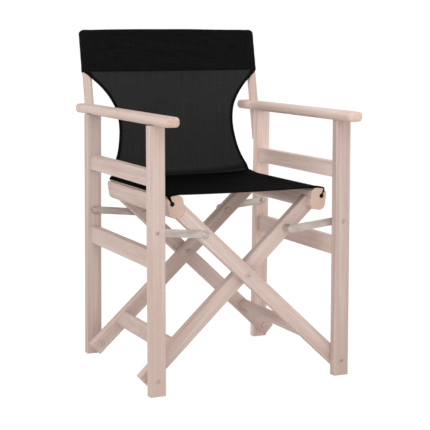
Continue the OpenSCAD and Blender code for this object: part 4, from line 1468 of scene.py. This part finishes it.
def area_lamp(name, place, size, power):
    """A round lamp that faces the middle of the chair."""
    lamp = bpy.data.lights.new(name, "AREA")
    lamp.shape = "DISK"
    lamp.size = size
    lamp.energy = power
    made = add_object(name, lamp)
    made.location = place
    way = (CAD_LOW + CAD_HIGH) / 2 - Vector(place)
    made.rotation_euler = way.to_track_quat("-Z", "Y").to_euler()


class CHAIR_OT_stage(bpy.types.Operator):
    """Makes the floor, the room light, the lamps and the camera"""

    bl_idname = "chair.stage"
    bl_label = "Stage"

    def execute(self, context):
        scene = context.scene
        look = scene.chair_stage
        mesh = bpy.data.meshes.new("floor")
        mesh.from_pydata([(x * FLOOR_HALF, y * FLOOR_HALF, 0.0)
                          for x, y in ((-1, -1), (1, -1), (1, 1), (-1, 1))], [], [(0, 1, 2, 3)])
        floor = add_object("floor", mesh)
        floor.location.z = CAD_LOW.z - FLOOR_GAP
        dress(floor, floor_material("pale_floor", look))
        scene.world = room_light(look)
        for name, (place, size) in LAMPS.items():
            area_lamp(name, place, size, getattr(look, name))

        lens = bpy.data.cameras.new("camera")
        lens.sensor_width = 36.0
        lens.lens = look.lens
        lens.shift_y = look.frame_shift
        camera = add_object("camera", lens)
        camera.location = look.stand
        camera.rotation_euler = (look.tilt, 0.0, look.turn)
        scene.camera = camera
        scene.view_settings.view_transform = "Standard"
        return {"FINISHED"}


OPERATORS = (CHAIR_OT_wood, CHAIR_OT_arms, CHAIR_OT_metal, CHAIR_OT_rods, CHAIR_OT_seat,
             CHAIR_OT_band, CHAIR_OT_mesh, CHAIR_OT_binding, CHAIR_OT_stage)
SETTINGS = (("chair_wood", WoodFinish), ("chair_metal", MetalFinish),
            ("chair_cloth", ClothCut), ("chair_stage", StageLook))


class CHAIR_PT_maker(bpy.types.Panel):
    """Lists the steps that make the chair, and their sizes and colours"""

    bl_idname = "CHAIR_PT_maker"
    bl_label = "Folding chair"
    bl_space_type = "VIEW_3D"
    bl_region_type = "UI"
    bl_category = "Chair"

    def draw(self, context):
        for step_class in OPERATORS:
            self.layout.operator(step_class.bl_idname)
        for name, group_class in SETTINGS:
            box = self.layout.box()
            for field in group_class.__annotations__:
                box.prop(getattr(context.scene, name), field)


def register():
    """Registers the settings, the operators and the panel."""
    for name, group_class in SETTINGS:
        bpy.utils.register_class(group_class)
        setattr(bpy.types.Scene, name, bpy.props.PointerProperty(type=group_class))
    for made in (*OPERATORS, CHAIR_PT_maker):
        bpy.utils.register_class(made)


def unregister():
    """Takes away what register added, in the opposite order."""
    for made in (CHAIR_PT_maker, *reversed(OPERATORS)):
        bpy.utils.unregister_class(made)
    for name, group_class in reversed(SETTINGS):
        delattr(bpy.types.Scene, name)
        bpy.utils.unregister_class(group_class)


def main():
    """Makes the chair, and writes the box of the frame and the box of the finished chair."""
    register()
    for made in OPERATORS:
        group, name = made.bl_idname.split(".")
        getattr(getattr(bpy.ops, group), name)()


if __name__ == "__main__":
    main()
